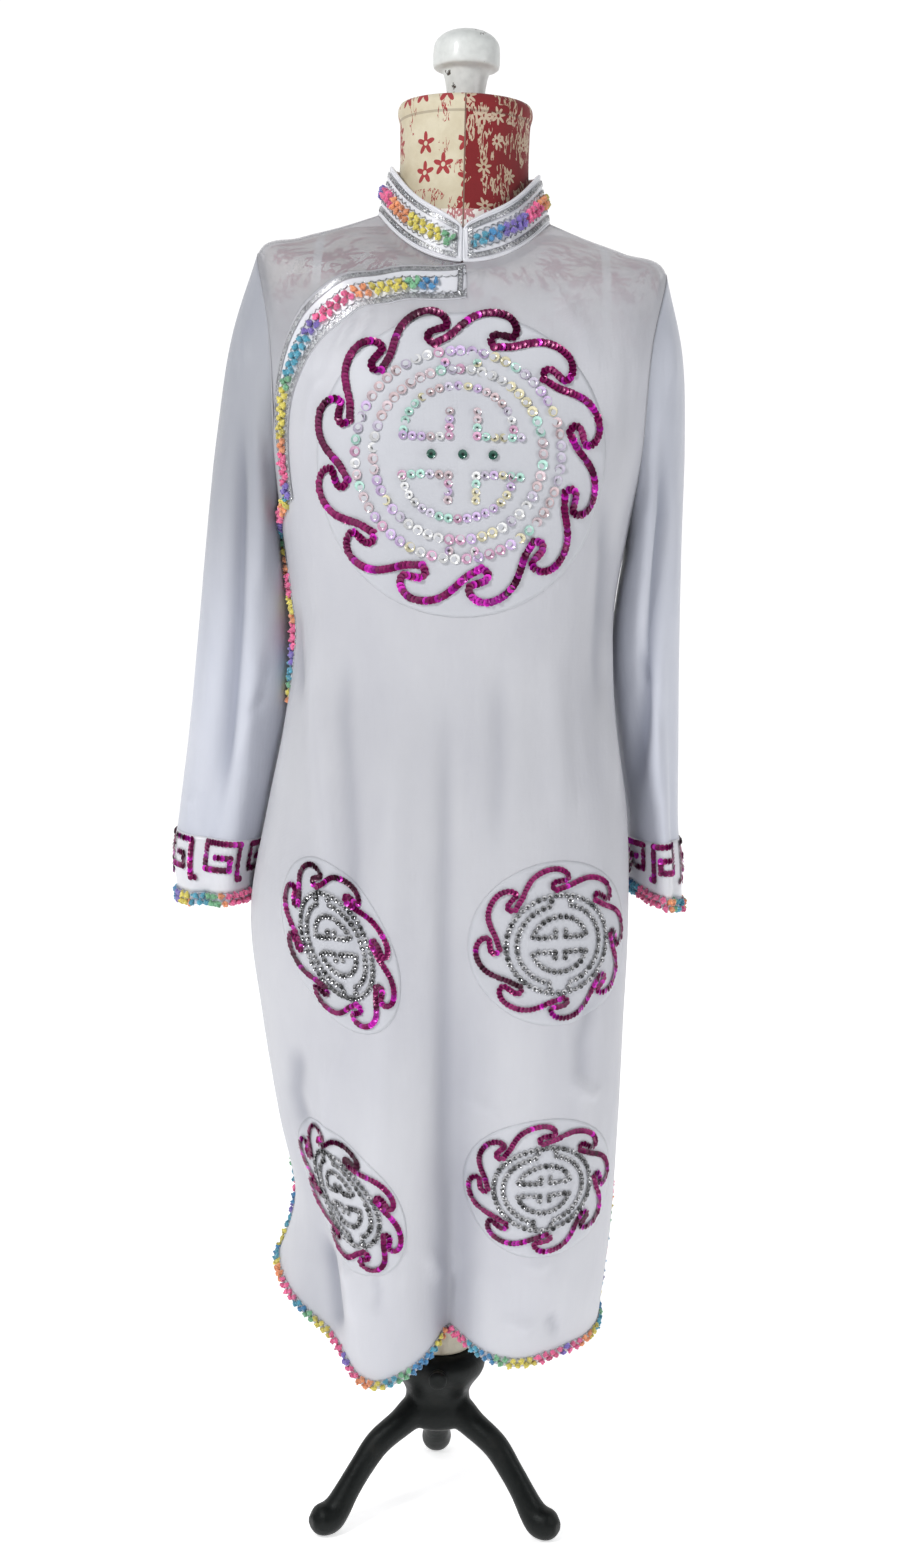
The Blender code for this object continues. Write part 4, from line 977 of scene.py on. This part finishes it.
# Sequin work
# One wave of a ring of waves: how far along it, and how high between trough and crest, in shares.
WAVE = ((0, 0), (0.26, 0.19), (0.45, 0.50), (0.61, 0.77), (0.80, 0.95), (1.0, 1.0), (1.14, 0.89),
        (1.225, 0.68), (1.22, 0.47), (1.09, 0.41), (0.965, 0.36), (0.915, 0.18), (1.0, 0.0))
CRIMSON, MAROON, PAINTED_GLINT_MAGENTA = (0.230, 0.001, 0.098), (0.050, 0.001, 0.018), (0.62, 0.010, 0.48)


def magenta(points, dark=0.45):
    """Crimson sequins that darken to maroon in runs, with painted glints of bright magenta, most to the lower
    left.
    """
    count = len(points)
    run = np.convolve(DICE.normal(0, 1, count + 24), np.ones(25) / 5, "valid")
    share = np.clip(0.5 + run * 0.55 - dark, 0.0, 1.0)[:, None]
    tint = np.array(MAROON) * share + np.array(CRIMSON) * (1 - share)
    lower = smooth((points[:, 0] - points[:, 1] * 1.2 + 0.02) / 0.2) if points.shape[1] == 2 else 0.3
    glint = DICE.uniform(0, 1, count) < 0.07 + 0.40 * lower
    tint = tint * DICE.uniform(0.7, 1.3, (count, 1))
    return np.where(glint[:, None], np.array(PAINTED_GLINT_MAGENTA) * DICE.uniform(0.5, 1.2, (count, 1)), tint)


def on_patch(patch, right, up, out):
    angle, place = walk(*seen(patch.x, patch.z), right * patch.wide + up * patch.lean, up * patch.tall)
    return cloth(angle, place, out), normal_of(cloth, angle, place, 0.4, 0.02)


def ring_points(radius, pitch, x=0.0, y=0.0, squash=1.0, first=0.0, last=360.0):
    a = np.radians(np.linspace(first, last, 200))
    path = np.stack((x + radius * np.sin(a), y + radius * squash * np.cos(a)), axis=1)
    return even(path[::4], pitch)


def pearly(count):
    """Iridescent tints of clear cup sequins."""
    shades = np.array(((0.74, 0.42, 0.60), (0.66, 0.50, 0.78), (0.80, 0.74, 0.50), (0.50, 0.80, 0.70),
                       (0.74, 0.60, 0.64), (0.72, 0.56, 0.58), (0.68, 0.62, 0.76), (0.84, 0.84, 0.84)))
    picks = np.clip(np.cumsum(DICE.choice((-1, 0, 0, 1, 3), count)) % 8, 0, 7)
    return shades[picks] * DICE.uniform(0.75, 1.1, (count, 1))


def waves(heap, patch, centre, count, crest, trough, phase, pitch, size):
    for k in range(count):
        line = even(WAVE, 0.02)
        clock = np.radians((k + line[:, 0]) * 360 / count + phase)
        radius = trough + (crest - trough) * line[:, 1]
        path = np.stack((centre[0] + radius * np.sin(clock), centre[1] + radius * np.cos(clock)), axis=1)
        path = even(path[::3], pitch)[:-1]
        points, normals = on_patch(patch, path[:, 0], path[:, 1], SEWN_ON + 0.0006)
        sequins(heap, points, normals, disc_shape(size / 2, size * 0.07), magenta(path))


# Darkness of a cup's rings from the middle out: a dark sewing hole, then a darker rim, which is painted shade
# at the sequin's edge.
PEARL_SHADES = (0.05, 0.45, 1.0, 0.92)
STEEL_SHADES = (0.03, 0.30, 1.0, 0.60)


def cups(heap, patch, path, size, tints, lift=0.0004, shades=PEARL_SHADES):
    points, normals = on_patch(patch, path[:, 0], path[:, 1], SEWN_ON + lift)
    if len(points) < 2:
        along = unit(np.cross(normals, (0.0, 0.0, 1.0)))
        points, normals = np.vstack((points, points + along * 1e-4)), np.repeat(normals, 2, 0)
        tints = tints[:1]
    cup = disc_shape(size / 2, size * 0.16, 12, shades)
    sequins(heap, points, normals, cup, tints, tilt=0.0, jitter=0.16)


def chest_work(patch):
    """The large roundel: a ring of waves, two rings of cup sequins and a round longevity figure."""
    heap = Heap()
    waves(heap, patch, (-0.004, 0.007), 12, 0.1305, 0.0995, -13.0, 0.0036, 0.0074)
    heap.make("waves_chest", SEQUIN, "patch_cloth")
    heap = Heap()
    middle = (-0.004, 0.008)
    lines = [ring_points(0.0905, 0.0101, *middle), ring_points(0.0740, 0.0095, *middle),
             ring_points(0.0475, 0.0084, middle[0], middle[1] + 0.018, 0.86, -88, 88),
             ring_points(0.0475, 0.0084, middle[0], middle[1] - 0.018, 0.80, 92, 268)]
    for x in (-0.017, 0.011):
        lines.append(np.array(((x, 0.0875), (x, 0.0874))))
    for x in (-0.010, 0.012):
        lines.append(np.array(((x, -0.0755), (x, -0.0754))))
    for sign in (-1, 1):
        for x0, x1 in ((-0.052, -0.012), (0.012, 0.050)):
            lines.append(even(np.array(((x0, sign * 0.017 + 0.006), ((x0 + x1) / 2, sign * 0.016 + 0.006),
                                        (x1, sign * 0.017 + 0.006))), 0.0074))
            x = x1 if x0 < 0 else x0
            lines.append(np.array([(x, sign * y + 0.006) for y in (0.024, 0.031, 0.038)]))
    for path in lines:
        cups(heap, patch, np.asarray(path), 0.0092 if len(path) > 30 else 0.0078, pearly(len(path)))
    green = np.array(((-0.027, 0.007), (0.000, 0.007), (0.026, 0.007)))
    cups(heap, patch, green, 0.0082, np.tile((0.02, 0.10, 0.07), (3, 1)), 0.0012)
    heap.make("cups_chest", CUP, "patch_cloth")


def small_work(patch):
    """A small roundel: waves in colour, rings and a figure in steel sequins."""
    heap = Heap()
    waves(heap, patch, (0.0, 0.0), 8, 0.0665, 0.0480, -4.5, 0.0031, 0.0056)
    heap.make(f"waves_{patch.name}", SEQUIN, "patch_cloth")
    heap = Heap()
    lines = [ring_points(0.0432, 0.0050), ring_points(0.0350, 0.0050, first=14, last=166),
             ring_points(0.0350, 0.0050, first=194, last=346),
             ring_points(0.0235, 0.0049, 0, 0.001, 1.0, -74, 74),
             ring_points(0.0235, 0.0049, 0, -0.001, 1.0, 106, 254)]
    for sign in (-1, 1):
        for way in (-1, 1):
            lines.append(np.array([(way * x, sign * 0.0065) for x in (0.0180, 0.0132, 0.0084)]))
            lines.append(np.array([(way * 0.0042, sign * y) for y in (0.0070, 0.0118)]))
            lines.append(np.array([(way * 0.0078, sign * y) for y in (0.0385, 0.0392)])[:1])
    for path in lines:
        grey = np.array((0.30, 0.30, 0.31)) * DICE.uniform(0.30, 1.9, (len(path), 1))
        cups(heap, patch, np.asarray(path), 0.0054, grey, shades=STEEL_SHADES)
    heap.make(f"cups_{patch.name}", STEEL, "patch_cloth")


def patch_cloth(patch):
    spot = seen(patch.x, patch.z)
    rings, spokes = (34, 128) if patch.radius > 0.1 else (22, 88)
    r, a = np.meshgrid(np.linspace(0.02, 1, rings) * patch.radius, np.arange(spokes) * 2 * np.pi / spokes,
                       indexing="ij")
    right = r * (np.cos(a) * patch.wide + np.sin(a) * patch.lean)
    angle, place = walk(*spot, right, r * np.sin(a) * patch.tall)
    points = cloth(angle, place, ON_CLOTH).reshape(-1, 3)
    middle = cloth(*(np.array([v]) for v in spot), ON_CLOTH)
    tints = np.vstack((robe_painted_shade(angle, place).reshape(-1, 3), np.ones((1, 3))))
    heap = Heap().add(np.vstack((points, middle)), grid(rings, spokes, closed=True), tints)
    last = len(points)
    heap.faces += [(last, (i + 1) % spokes, i) for i in range(spokes)]
    made = heap.make(f"patch_{patch.name}", PATCH_CLOTH, "patch_cloth", f"roundel_{patch.name}")
    made = thicken(made, PATCH_THICK)


# Cuffs, hems and other trims
# One key of the cuffs' band, as shares of its width and of its height.
KEY = ((0.45, 0.60), (0.78, 0.60), (0.78, 0.28), (0.30, 0.28), (0.16, 0.28), (0.16, 0.98), (0.98, 0.98),
       (0.98, 0.02), (1.18, 0.02))
KEYS_ROUND, KEY_WIDTH, KEY_HEIGHT, KEY_PITCH = 6, 0.043, 0.0370, 0.0036
KEY_SHARE, KEY_DROP = 0.82, 0.34         # a key's share of its room, and how far up the sleeve it starts
KEY_ROW = 7.3                            # the place down the sleeve where the room round it is measured


def key_points():
    """Evenly spaced points along one key."""
    points = []
    for (x0, y0), (x1, y1) in zip(KEY[:-1], KEY[1:]):
        steps = max(round(math.hypot((x1 - x0) * KEY_WIDTH, (y1 - y0) * KEY_HEIGHT) / KEY_PITCH), 1)
        points += [(x0 + (x1 - x0) * t / steps, y0 + (y1 - y0) * t / steps) for t in range(steps)]
    return np.array(points)


def cuff(side, word):
    surface = lambda a, p, out=0.0: sleeve(side, a, p, out)
    angle, place = np.meshgrid(ROUND_SLEEVE * side, np.linspace(CUFF_FOOT, CUFF_PLACE, 12))
    made = make_sheet(f"cuff_cloth_{word}", surface(angle, place, ON_CLOTH), SATIN, "satin",
                      f"cuff_band_{word}", PATCH_THICK, closed=True)
    dense = np.linspace(0, 360, 721)
    run = run_of(surface(dense, np.full(721, KEY_ROW)))
    period = run[-1] / KEYS_ROUND
    keyed = key_points()
    heap = Heap()
    for k in range(KEYS_ROUND):
        a = np.interp((k * period + keyed[:, 0] * KEY_SHARE * period) % run[-1], run, dense)
        p = CUFF_FOOT - KEY_DROP - keyed[:, 1] * KEY_HEIGHT / SLEEVE_ROW
        points = surface(a, p, SEWN_ON + 0.0004)
        normals = normal_of(surface, a, p, 2.0, 0.03, side)
        sequins(heap, points, normals, disc_shape(0.0032, 0.0004), magenta(points), tilt=0.25)
    heap.make(f"meander_{word}", SEQUIN, "satin")
    heap = Heap()
    angles = np.linspace(0, 360, 720) + 40
    points, normals = line_on(surface, angles, np.full(720, 7.86), 0.0022, sign=side, turn=2.0)
    trim(heap, points, normals, "tgoppptbvyo", size=0.0033, sway=0.0034)
    points, normals = line_on(surface, angles, np.full(720, 7.73), 0.0014, sign=side, turn=2.0)
    thread_wave(heap, points, normals, 0.0016, zigzag=False)
    heap.make(f"cuff_tufts_{word}", CHENILLE, "rainbow_trim", f"cuff_edging_{word}")


def edge_trim(name, angle, place, colours, node, silver_angle, silver_place, size=0.0029, sway=0.0024):
    heap = Heap()
    trim(heap, *line_on(cloth, angle, place, 0.0018), colours, size=size, sway=sway)
    thread_wave(heap, *line_on(cloth, silver_angle, silver_place, 0.0008), 0.0015, zigzag=False)
    heap.make(name, CHENILLE, "rainbow_trim", node)


def edge_trims():
    for word, front in (("front", True), ("back", False)):
        first, last = (-1, 1) if front else (1, -1)
        a0, a1 = edge_angle(first, np.float64(0.02), front), edge_angle(last, np.float64(0.02), front)
        a1 = a1 if front else a1 + 360
        a = np.linspace(a0 + 1.5, a1 - 1.5, 500)
        low, high = places_for(0.0045, a, np.zeros(500)), places_for(0.0085, a, np.zeros(500))
        edge_trim(f"hem_trim_{word}", a, low, "btyopptbgyyppvpoytgb", f"hem_edging_{word}", a, high)
        for side, name in ((-1, "right"), (1, "left")):
            p = np.linspace(0.12, place_of(SLIT_TOP_Z), 200)
            edge = edge_angle(side, p, front)
            way = -side if front else side
            a, b = edge + way * degrees_for(0.0045, edge, p), edge + way * degrees_for(0.0085, edge, p)
            edge_trim(f"slit_trim_{word}_{name}", a, p, "ytvbptgyoppvtt", f"slit_edging_{word}_{name}", b, p)
    p = np.linspace(place_of(CLOSURE_TOP_Z), place_of(CLOSURE_FOOT_Z), 200)
    edge = edge_angle(-1, p, True)
    a, b = edge + degrees_for(0.0085, edge, p), edge + degrees_for(0.0145, edge, p)
    end_a, end_p = band_at(np.ones(2), BAND_INSET + BAND_TAIL_WIDTH * np.array((0.50, 0.85)))
    a, b = np.append(end_a[:1], a), np.append(end_a[1:], b)
    low, high = np.append(end_p[:1], p), np.append(end_p[1:], p)
    edge_trim("closure_trim", a, low, "yoppvtgyopp", "closure_edging", b, high, 0.0036, 0.0032)


def seams():
    """Sewn seams, each a low ridge of cloth."""
    heap = Heap()
    foot = place_of(SLIT_TOP_Z)
    right_seam = np.linspace(foot, place_of(CLOSURE_FOOT_Z), 250)
    left_seam = np.linspace(foot, ARMPIT, 400)
    for side, side_seam in ((-1, right_seam), (1, left_seam)):
        for p, radius in ((side_seam, 0.0006), (np.linspace(SHOULDER, NECK, 60), 0.0007)):
            points, normals = line_on(cloth, side_line(side, p), p, 0.0002, pitch=0.004)
            tube(heap, points, radius, normals)
        ring = armhole_point(side, np.linspace(0, 360, 240))
        tube(heap, ring, 0.0009, np.tile((float(side), 0.0, 0.0), (240, 1)))
    heap.make("seam_ridges", SHADED_UNDER_CLOTH, "robe_cloth")


# The dress form
# How far the form lies inside the robe: the place up the robe, and the distance in metres.
INSETS = np.array(((3.85, 0.050), (4.40, 0.036), (5.20, 0.022), (6.10, 0.010), (7.00, 0.008), (8.00, 0.008),
                   (9.00, 0.008), (10.00, 0.007), (10.60, 0.0060), (11.00, 0.0045), (11.50, 0.0026),
                   (12.00, 0.0018), (12.60, 0.0014), (13.20, 0.0016), (14.00, 0.0090)))
NECK_TOP_Z, NECK_RADIUS, FORM_FOOT_Z, HUB_TOP_Z, KNOB_TOP_Z = 1.346, 0.060, 0.585, 0.166, 1.415
FORM_COLUMNS = 144
# Rings of the neck block: the share of its radius, and the height.
NECK_RINGS = ((1.05, 1.258), (1.00, 1.275), (0.985, 1.295), (0.990, 1.318), (0.998, 1.330), (1.018, 1.3345),
              (1.030, 1.3385), (1.022, 1.3430), (0.995, NECK_TOP_Z))


def sprigs(s, flat, scale, petals, size, share):
    """Small petalled motifs on a share of the cells of a flat pattern."""
    cells = s.node("ShaderNodeTexVoronoi", {"voronoi_dimensions": "2D"}, Vector=flat, Scale=scale,
                   Randomness=0.55)
    here = s.stretch(flat, scale, scale, scale)
    middle = s.stretch(cells.outputs["Position"], scale, scale, scale)
    way = s.node("ShaderNodeVectorMath", {"operation": "SUBTRACT"}, i0=here, i1=middle).outputs[0]
    parts = s.node("ShaderNodeSeparateXYZ", Vector=way).outputs
    turn = s.times(s.maths("ARCTAN2", parts[1], parts[0]), petals)
    reach = s.times(s.maths("ADD", s.times(s.maths("SINE", turn), 0.35), 0.75), size)
    inside = s.maths("LESS_THAN", cells.outputs["Distance"], reach)
    heart = s.maths("LESS_THAN", cells.outputs["Distance"], size * 0.22)
    pick = s.node("ShaderNodeSeparateColor", Color=cells.outputs["Color"]).outputs[0]
    return s.times(s.minus(inside, heart, clamp=True), s.maths("LESS_THAN", pick, share))


def form_cover_material():
    """Aged cotton printed with small sprigs; the neck's left half has a dark red ground."""
    s = Shader("Form cover", Roughness=0.9, Sheen_Weight=0.15)
    spot = s.spot()
    x, y, z = s.node("ShaderNodeSeparateXYZ", Vector=spot).outputs
    x, y = s.minus(x, float(AXIS[0])), s.minus(y, float(AXIS[1]))
    round_it = s.times(s.maths("ARCTAN2", x, s.times(y, -1.0)), 0.065)
    flat = s.node("ShaderNodeCombineXYZ", X=round_it, Y=z).outputs[0]
    small, large = sprigs(s, flat, 44.0, 5.0, 0.42, 0.42), sprigs(s, flat, 62.0, 7.0, 0.46, 0.38)
    stems = s.noise(flat, 150, 45, 1, 3.0, 0.6)
    twig_groups = s.maths("GREATER_THAN", s.noise(flat, 30, 30, 1, 1.0), 0.55)
    twigs = s.times(s.near(stems, 0.5, 0.018), twig_groups)
    leaf_groups = s.maths("GREATER_THAN", s.noise(flat, 40, 40, 1, 1.0), 0.47)
    leaves = s.times(s.near(stems, 0.47, 0.034), leaf_groups)
    motifs = s.maths("MAXIMUM", large, leaves)
    pale = s.mix(s.maths("MAXIMUM", small, twigs), (0.66, 0.60, 0.45), (0.36, 0.040, 0.045))
    deep = s.mix(s.times(motifs, 0.85), (0.22, 0.010, 0.014), (0.62, 0.52, 0.38))
    neck = s.mix(s.maths("GREATER_THAN", x, 0.0), pale, deep)
    torso = s.mix(motifs, (0.95, 0.91, 0.87), (0.55, 0.22, 0.24))
    on_neck = s.maths("GREATER_THAN", z, 1.245)
    stripe = s.times(s.near(s.maths("ABSOLUTE", x), 0.128, 0.004), s.minus(1.0, on_neck))
    colour = s.mix(stripe, s.mix(on_neck, torso, neck), (1.0, 1.0, 1.0))
    aged = s.ramp(s.noise(spot, 26, 26, 26, 5.0, 0.6), ((0.30, (0.70, 0.62, 0.50)), (0.62, (1, 1, 1))))
    seam = s.near(x, 0.0, 0.0007)
    colour = s.mix(seam, s.mix(0.7, colour, aged, "MULTIPLY"), (0.20, 0.12, 0.09))
    # A dark brownish line round the neck block's top rim: partly painted shade under its folded edge, partly
    # the stain there.
    rim_shade_and_stain = s.near(z, 1.3312, 0.0011)
    colour = s.mix(s.times(rim_shade_and_stain, 0.35), colour, (0.07, 0.03, 0.025))
    weave = s.noise(spot, 900, 900, 900, 2.0)
    return s.done(colour, s.bump(weave, 0.0004, 0.5))


def close_ends(heap, first, sides, flip=False):
    """Close both ends of the rings that were added from the first point on."""
    low, high = tuple(range(first, first + sides)), tuple(range(heap.count - sides, heap.count))
    heap.faces += [low, high[::-1]] if flip else [low[::-1], high]


def form_cover():
    angles = np.linspace(0, 360, FORM_COLUMNS + 1)[:-1]
    turn = turn_between(angles, 0)
    still = lambda a, p: robe(a, p, False)
    rows = []
    for place, clear in blend(INSETS, np.linspace(0, len(INSETS) - 1, 100)):
        under = 0.0021 * smooth(-turn / 15) * smooth((90 + turn) / 15) if place > 10 else 0.0
        n = normal_of(still, angles, np.full(FORM_COLUMNS, min(place, 13.97)))
        depth = np.broadcast_to(0.0006 + clear + under, (FORM_COLUMNS,))
        rows.append(still(angles, np.full(FORM_COLUMNS, place)) - n * depth[:, None])
    rows[0][:, 2] = FORM_FOOT_Z
    a = np.radians(angles)
    ring = np.stack((np.sin(a), -np.cos(a), np.zeros(FORM_COLUMNS)), axis=-1)
    control = [rows[-6], rows[-1]] + [ring * NECK_RADIUS * share + (0, 0, z) for share, z in NECK_RINGS]
    neck = blend(np.array(control), np.linspace(1, len(control) - 1, 60))[1:]
    middle = np.array((0, 0, NECK_TOP_Z))
    lid = [neck[-1] + (middle - neck[-1]) * t for t in (0.3, 0.6, 0.9)]
    base = [rows[0] * (0.05, 0.05, 1), rows[0] * (0.5, 0.5, 1)]
    points = np.array(base + rows + list(neck) + lid)
    heap = Heap().add(points, grid(len(points), FORM_COLUMNS, closed=True))
    close_ends(heap, 0, FORM_COLUMNS)
    made = heap.make("form_cover", form_cover_material(), "form_cover", "form_body")


# Profiles of the turned pieces: radius and height.
KNOB = ((0.0004, KNOB_TOP_Z), (0.010, 1.4142), (0.018, 1.4122), (0.0250, 1.4080), (0.0292, 1.4025),
        (0.0304, 1.3965), (0.0306, 1.3900), (0.0304, 1.3835), (0.0290, 1.3806), (0.0232, 1.3788),
        (0.0203, 1.3740), (0.0184, 1.3650), (0.0172, 1.3550), (0.0174, 1.3470), (0.010, 1.3464))
POLE = ((0.008, 0.5846), (0.0160, 0.5845), (0.0170, 0.5835), (0.0170, 0.50), (0.0170, 0.40), (0.0170, 0.30),
        (0.0172, 0.268), (0.0212, 0.252), (0.0315, 0.2425), (0.0340, 0.234), (0.0338, 0.220),
        (0.0325, 0.19), (0.0320, 0.168), (0.010, 0.1665))
HUB = ((0.0004, HUB_TOP_Z), (0.020, HUB_TOP_Z), (0.036, 0.1658), (0.0440, 0.1600), (0.0465, 0.1520),
       (0.0440, 0.1420), (0.0350, 0.1290), (0.0310, 0.1180), (0.0335, 0.1020), (0.0300, 0.0900),
       (0.018, 0.0870), (0.0004, 0.0870))
# The set screw's head, turned round the Y axis: radius and distance from the pole's axis along Y.
HEAD = ((0.0004, -0.0556), (0.0052, -0.0556), (0.0072, -0.0550), (0.0085, -0.0538), (0.0085, -0.0500),
        (0.0085, -0.0471), (0.0004, -0.0470))
SCREW_Z = 0.151
# A leg: reach from the pole's axis, height, half its height and half its width there.
LEG = ((0.006, 0.1080, 0.0180, 0.0200), (0.024, 0.1030, 0.0165, 0.0165), (0.041, 0.0930, 0.0135, 0.0140),
       (0.066, 0.0780, 0.0130, 0.0125), (0.084, 0.0570, 0.0120, 0.0115), (0.098, 0.0380, 0.0120, 0.0120),
       (0.109, 0.0220, 0.0135, 0.0138), (0.118, 0.0145, 0.0158, 0.0155), (0.129, 0.0130, 0.0145, 0.0138),
       (0.137, 0.0130, 0.0060, 0.0070))


def spun(line, sides):
    """Rings of points from a profile turned round the Z axis."""
    a = 2 * np.pi * np.arange(sides) / sides
    radius, height = line[:, 0], np.repeat(line[:, 1:], sides, axis=1)
    return np.stack((np.outer(radius, np.cos(a)), np.outer(radius, np.sin(a)), height), axis=-1)


def turned(name, profile, material, slot, node):
    """A turned piece, smooth between the corners of its profile."""
    sides = 72
    points = spun(even(profile, 0.0016), sides)
    heap = Heap().add(points, grid(len(points), sides, closed=True))
    close_ends(heap, 0, sides, flip=True)
    heap.make(name, material, slot, node)


def painted(name, paint, under, chips, roughness, stains=None):
    s = Shader(name, Roughness=roughness, Coat_Weight=0.15)
    spot = s.spot()
    broad = s.noise(spot, *chips, 5.0, 0.62)
    colour = s.mix(s.ramp(broad, ((0.0, 0.0), (0.625, 0.0), (0.64, 1.0))), paint, under)
    if stains:
        patches = s.ramp(s.noise(spot, 40, 40, 22, 4.0), ((0.50, 0.0), (0.68, 0.85)))
        colour = s.mix(patches, colour, stains)
    dust = s.noise(spot, 160, 160, 160)
    colour = s.mix(0.35, colour, s.ramp(dust, ((0.3, 0.72), (0.6, 1.0))), "MULTIPLY")
    return s.done(colour, s.bump(broad, 0.0006, 0.4))


def knob_and_pole():
    white = painted("Chipped paint", (0.70, 0.72, 0.70), (0.06, 0.045, 0.035), (60, 60, 60), 0.42)
    turned("knob", KNOB, white, "painted_knob", "finial")
    cream = painted("Stained paint", (0.62, 0.57, 0.45), (0.16, 0.085, 0.04), (45, 45, 18), 0.5,
                    (0.17, 0.085, 0.035))
    turned("pole_shaft", POLE, cream, "painted_pole", "pole")


def black_iron():
    s = Shader("Black iron", Metallic=0.55, Roughness=0.42)
    spot = s.spot()
    pits, worn = (s.noise(spot, fine, fine, fine, 4.0, 0.6) for fine in (260, 45))
    colour = s.mix(s.ramp(worn, ((0.55, 0.0), (0.75, 0.6))), (0.005, 0.007, 0.0065), (0.024, 0.024, 0.022))
    rough = s.ramp(worn, ((0.3, 0.36), (0.7, 0.60)))
    return s.done(colour, s.bump(pits, 0.0006, 0.45), Roughness=rough)


def add_leg(heap, heading, rows=60, sides=28):
    h = math.radians(heading)
    out, across = np.array((math.sin(h), -math.cos(h), 0)), np.array((math.cos(h), math.sin(h), 0))
    reach, z, tall, wide = blend(np.array(LEG), np.linspace(0, len(LEG) - 1, rows)).T
    middles = out * reach[:, None] + np.array((0, 0, 1.0)) * z[:, None]
    up = unit(np.cross(across, np.gradient(middles, axis=0)))
    up = up * np.sign(up[:, 2:])
    b = 2 * np.pi * np.arange(sides) / sides
    sideways, upwards = wide[:, None] * np.cos(b), tall[:, None] * np.sin(b)
    ring = middles[:, None] + across * sideways[..., None] + up[:, None] * upwards[..., None]
    ring[..., 2] = np.maximum(ring[..., 2], 0.0)
    first = heap.count
    heap.add(ring, grid(rows, sides, closed=True))
    close_ends(heap, first, sides)


def iron_foot(iron):
    """The hub and its three legs, joined into one casting."""
    sides = 64
    points = spun(even(HUB, 0.002), sides)
    heap = Heap().add(points, grid(len(points), sides, closed=True)[:, ::-1])
    close_ends(heap, 0, sides)
    for heading in (-60, 60, 180):
        add_leg(heap, heading)
    made = heap.make("iron_casting", iron, "iron", "iron_foot")
    join = made.modifiers.new("Join", "REMESH")
    join.mode, join.voxel_size = "VOXEL", 0.0021
    soft = made.modifiers.new("Soften", "SMOOTH")
    soft.factor, soft.iterations = 0.5, 6
    made.data.shade_smooth()


def screw_head(iron):
    sides = 40
    points = spun(even(HEAD, 0.0008), sides)[..., [0, 2, 1]] + (0, 0, SCREW_Z)
    heap = Heap().add(points, grid(len(points), sides, closed=True))
    heap.make("screw_head", iron, "iron", "set_screw")


# Put together
front_cloth()
under_cloth()
back_cloth()
sleeve_cloth(-1, "right")
sleeve_cloth(1, "left")
collar_cloth()
placket()
for each in PATCHES:
    patch_cloth(each)
chest_work(PATCHES[0])
for each in PATCHES[1:]:
    small_work(each)
cuff(-1, "right")
cuff(1, "left")
edge_trims()
seams()
form_cover()
knob_and_pole()
iron_black = black_iron()
iron_foot(iron_black)
screw_head(iron_black)


# The floor, the light and the camera
def flat_plane(name, corners, material):
    mesh = bpy.data.meshes.new(name)
    mesh.from_pydata(corners, [], [(0, 1, 2, 3)])
    mesh.materials.append(material)
    made = bpy.data.objects.new(name, mesh)
    bpy.context.scene.collection.objects.link(made)
    return made


pale = Shader("Pale floor", Roughness=0.9, Emission_Color=(1, 1, 1, 1), Emission_Strength=0.60)
floor = flat_plane("studio_floor", [(-6, -6, -0.001), (6, -6, -0.001), (6, 6, -0.001), (-6, 6, -0.001)],
                   pale.done((0.93, 0.93, 0.93, 1.0)))
white = Shader("White backdrop", Emission_Color=(1, 1, 1, 1), Emission_Strength=1.05, Roughness=1.0)
backdrop = flat_plane("studio_backdrop", [(-9, 4, -3), (9, 4, -3), (9, 4, 9), (-9, 4, 9)],
                      white.done((0.0, 0.0, 0.0, 1.0)))

world = bpy.data.worlds.new("Studio")
bpy.context.scene.world = world
world.use_nodes = True
world.node_tree.nodes["Background"].inputs["Color"].default_value = (0.93, 0.95, 1.0, 1.0)
world.node_tree.nodes["Background"].inputs["Strength"].default_value = 0.23


def axes_matrix(x_way, y_way, away, spot):
    """The matrix of a lamp or camera from its axes and its place."""
    return Matrix([[x_way[i], y_way[i], away[i], spot[i]] for i in range(3)] + [[0, 0, 0, 1]])


def lamp(name, where, at, size, power):
    light = bpy.data.lights.new(name, "AREA")
    light.shape, light.size, light.energy = "DISK", size, power
    made = bpy.data.objects.new(name, light)
    spot = AXIS + where
    away = unit(spot - (AXIS + at))
    x_way = unit(np.cross((0.0, 0.0, 1.0), away))
    made.matrix_world = axes_matrix(x_way, np.cross(away, x_way), away, spot)
    bpy.context.scene.collection.objects.link(made)


lamp("Key", (-1.2, -1.6, 2.1), (0.0, 0.0, 0.75), 0.45, 31.0)
lamp("Fill", (1.8, -0.9, 1.3), (0.0, 0.0, 0.85), 0.8, 8.5)

# The camera of the photo. Its focal length is in pixels of the photo.
CAMERA_AWAY, CAMERA_HEIGHT, SENSOR = 1.80, 0.935, 36.0
FOCAL_PIXELS, PHOTO_PIXELS_HIGH = 1900, 1552
PITCH, ROLL = math.radians(6.5), math.radians(1.25)
right, up = np.array((1.0, 0, 0)), np.array((0, math.sin(PITCH), math.cos(PITCH)))
camera_right = math.cos(ROLL) * right + math.sin(ROLL) * up
camera_up = math.cos(ROLL) * up - math.sin(ROLL) * right
camera = bpy.data.objects.new("Camera", bpy.data.cameras.new("Camera"))
camera.data.sensor_fit, camera.data.sensor_width, camera.data.sensor_height = "VERTICAL", SENSOR, SENSOR
camera.data.lens = SENSOR * FOCAL_PIXELS / PHOTO_PIXELS_HIGH
camera.matrix_world = axes_matrix(camera_right, camera_up, np.cross(camera_right, camera_up),
                                  AXIS + (0.0, -CAMERA_AWAY, CAMERA_HEIGHT))
bpy.context.scene.collection.objects.link(camera)
bpy.context.scene.camera = camera
bpy.context.scene.view_settings.view_transform = "Standard"
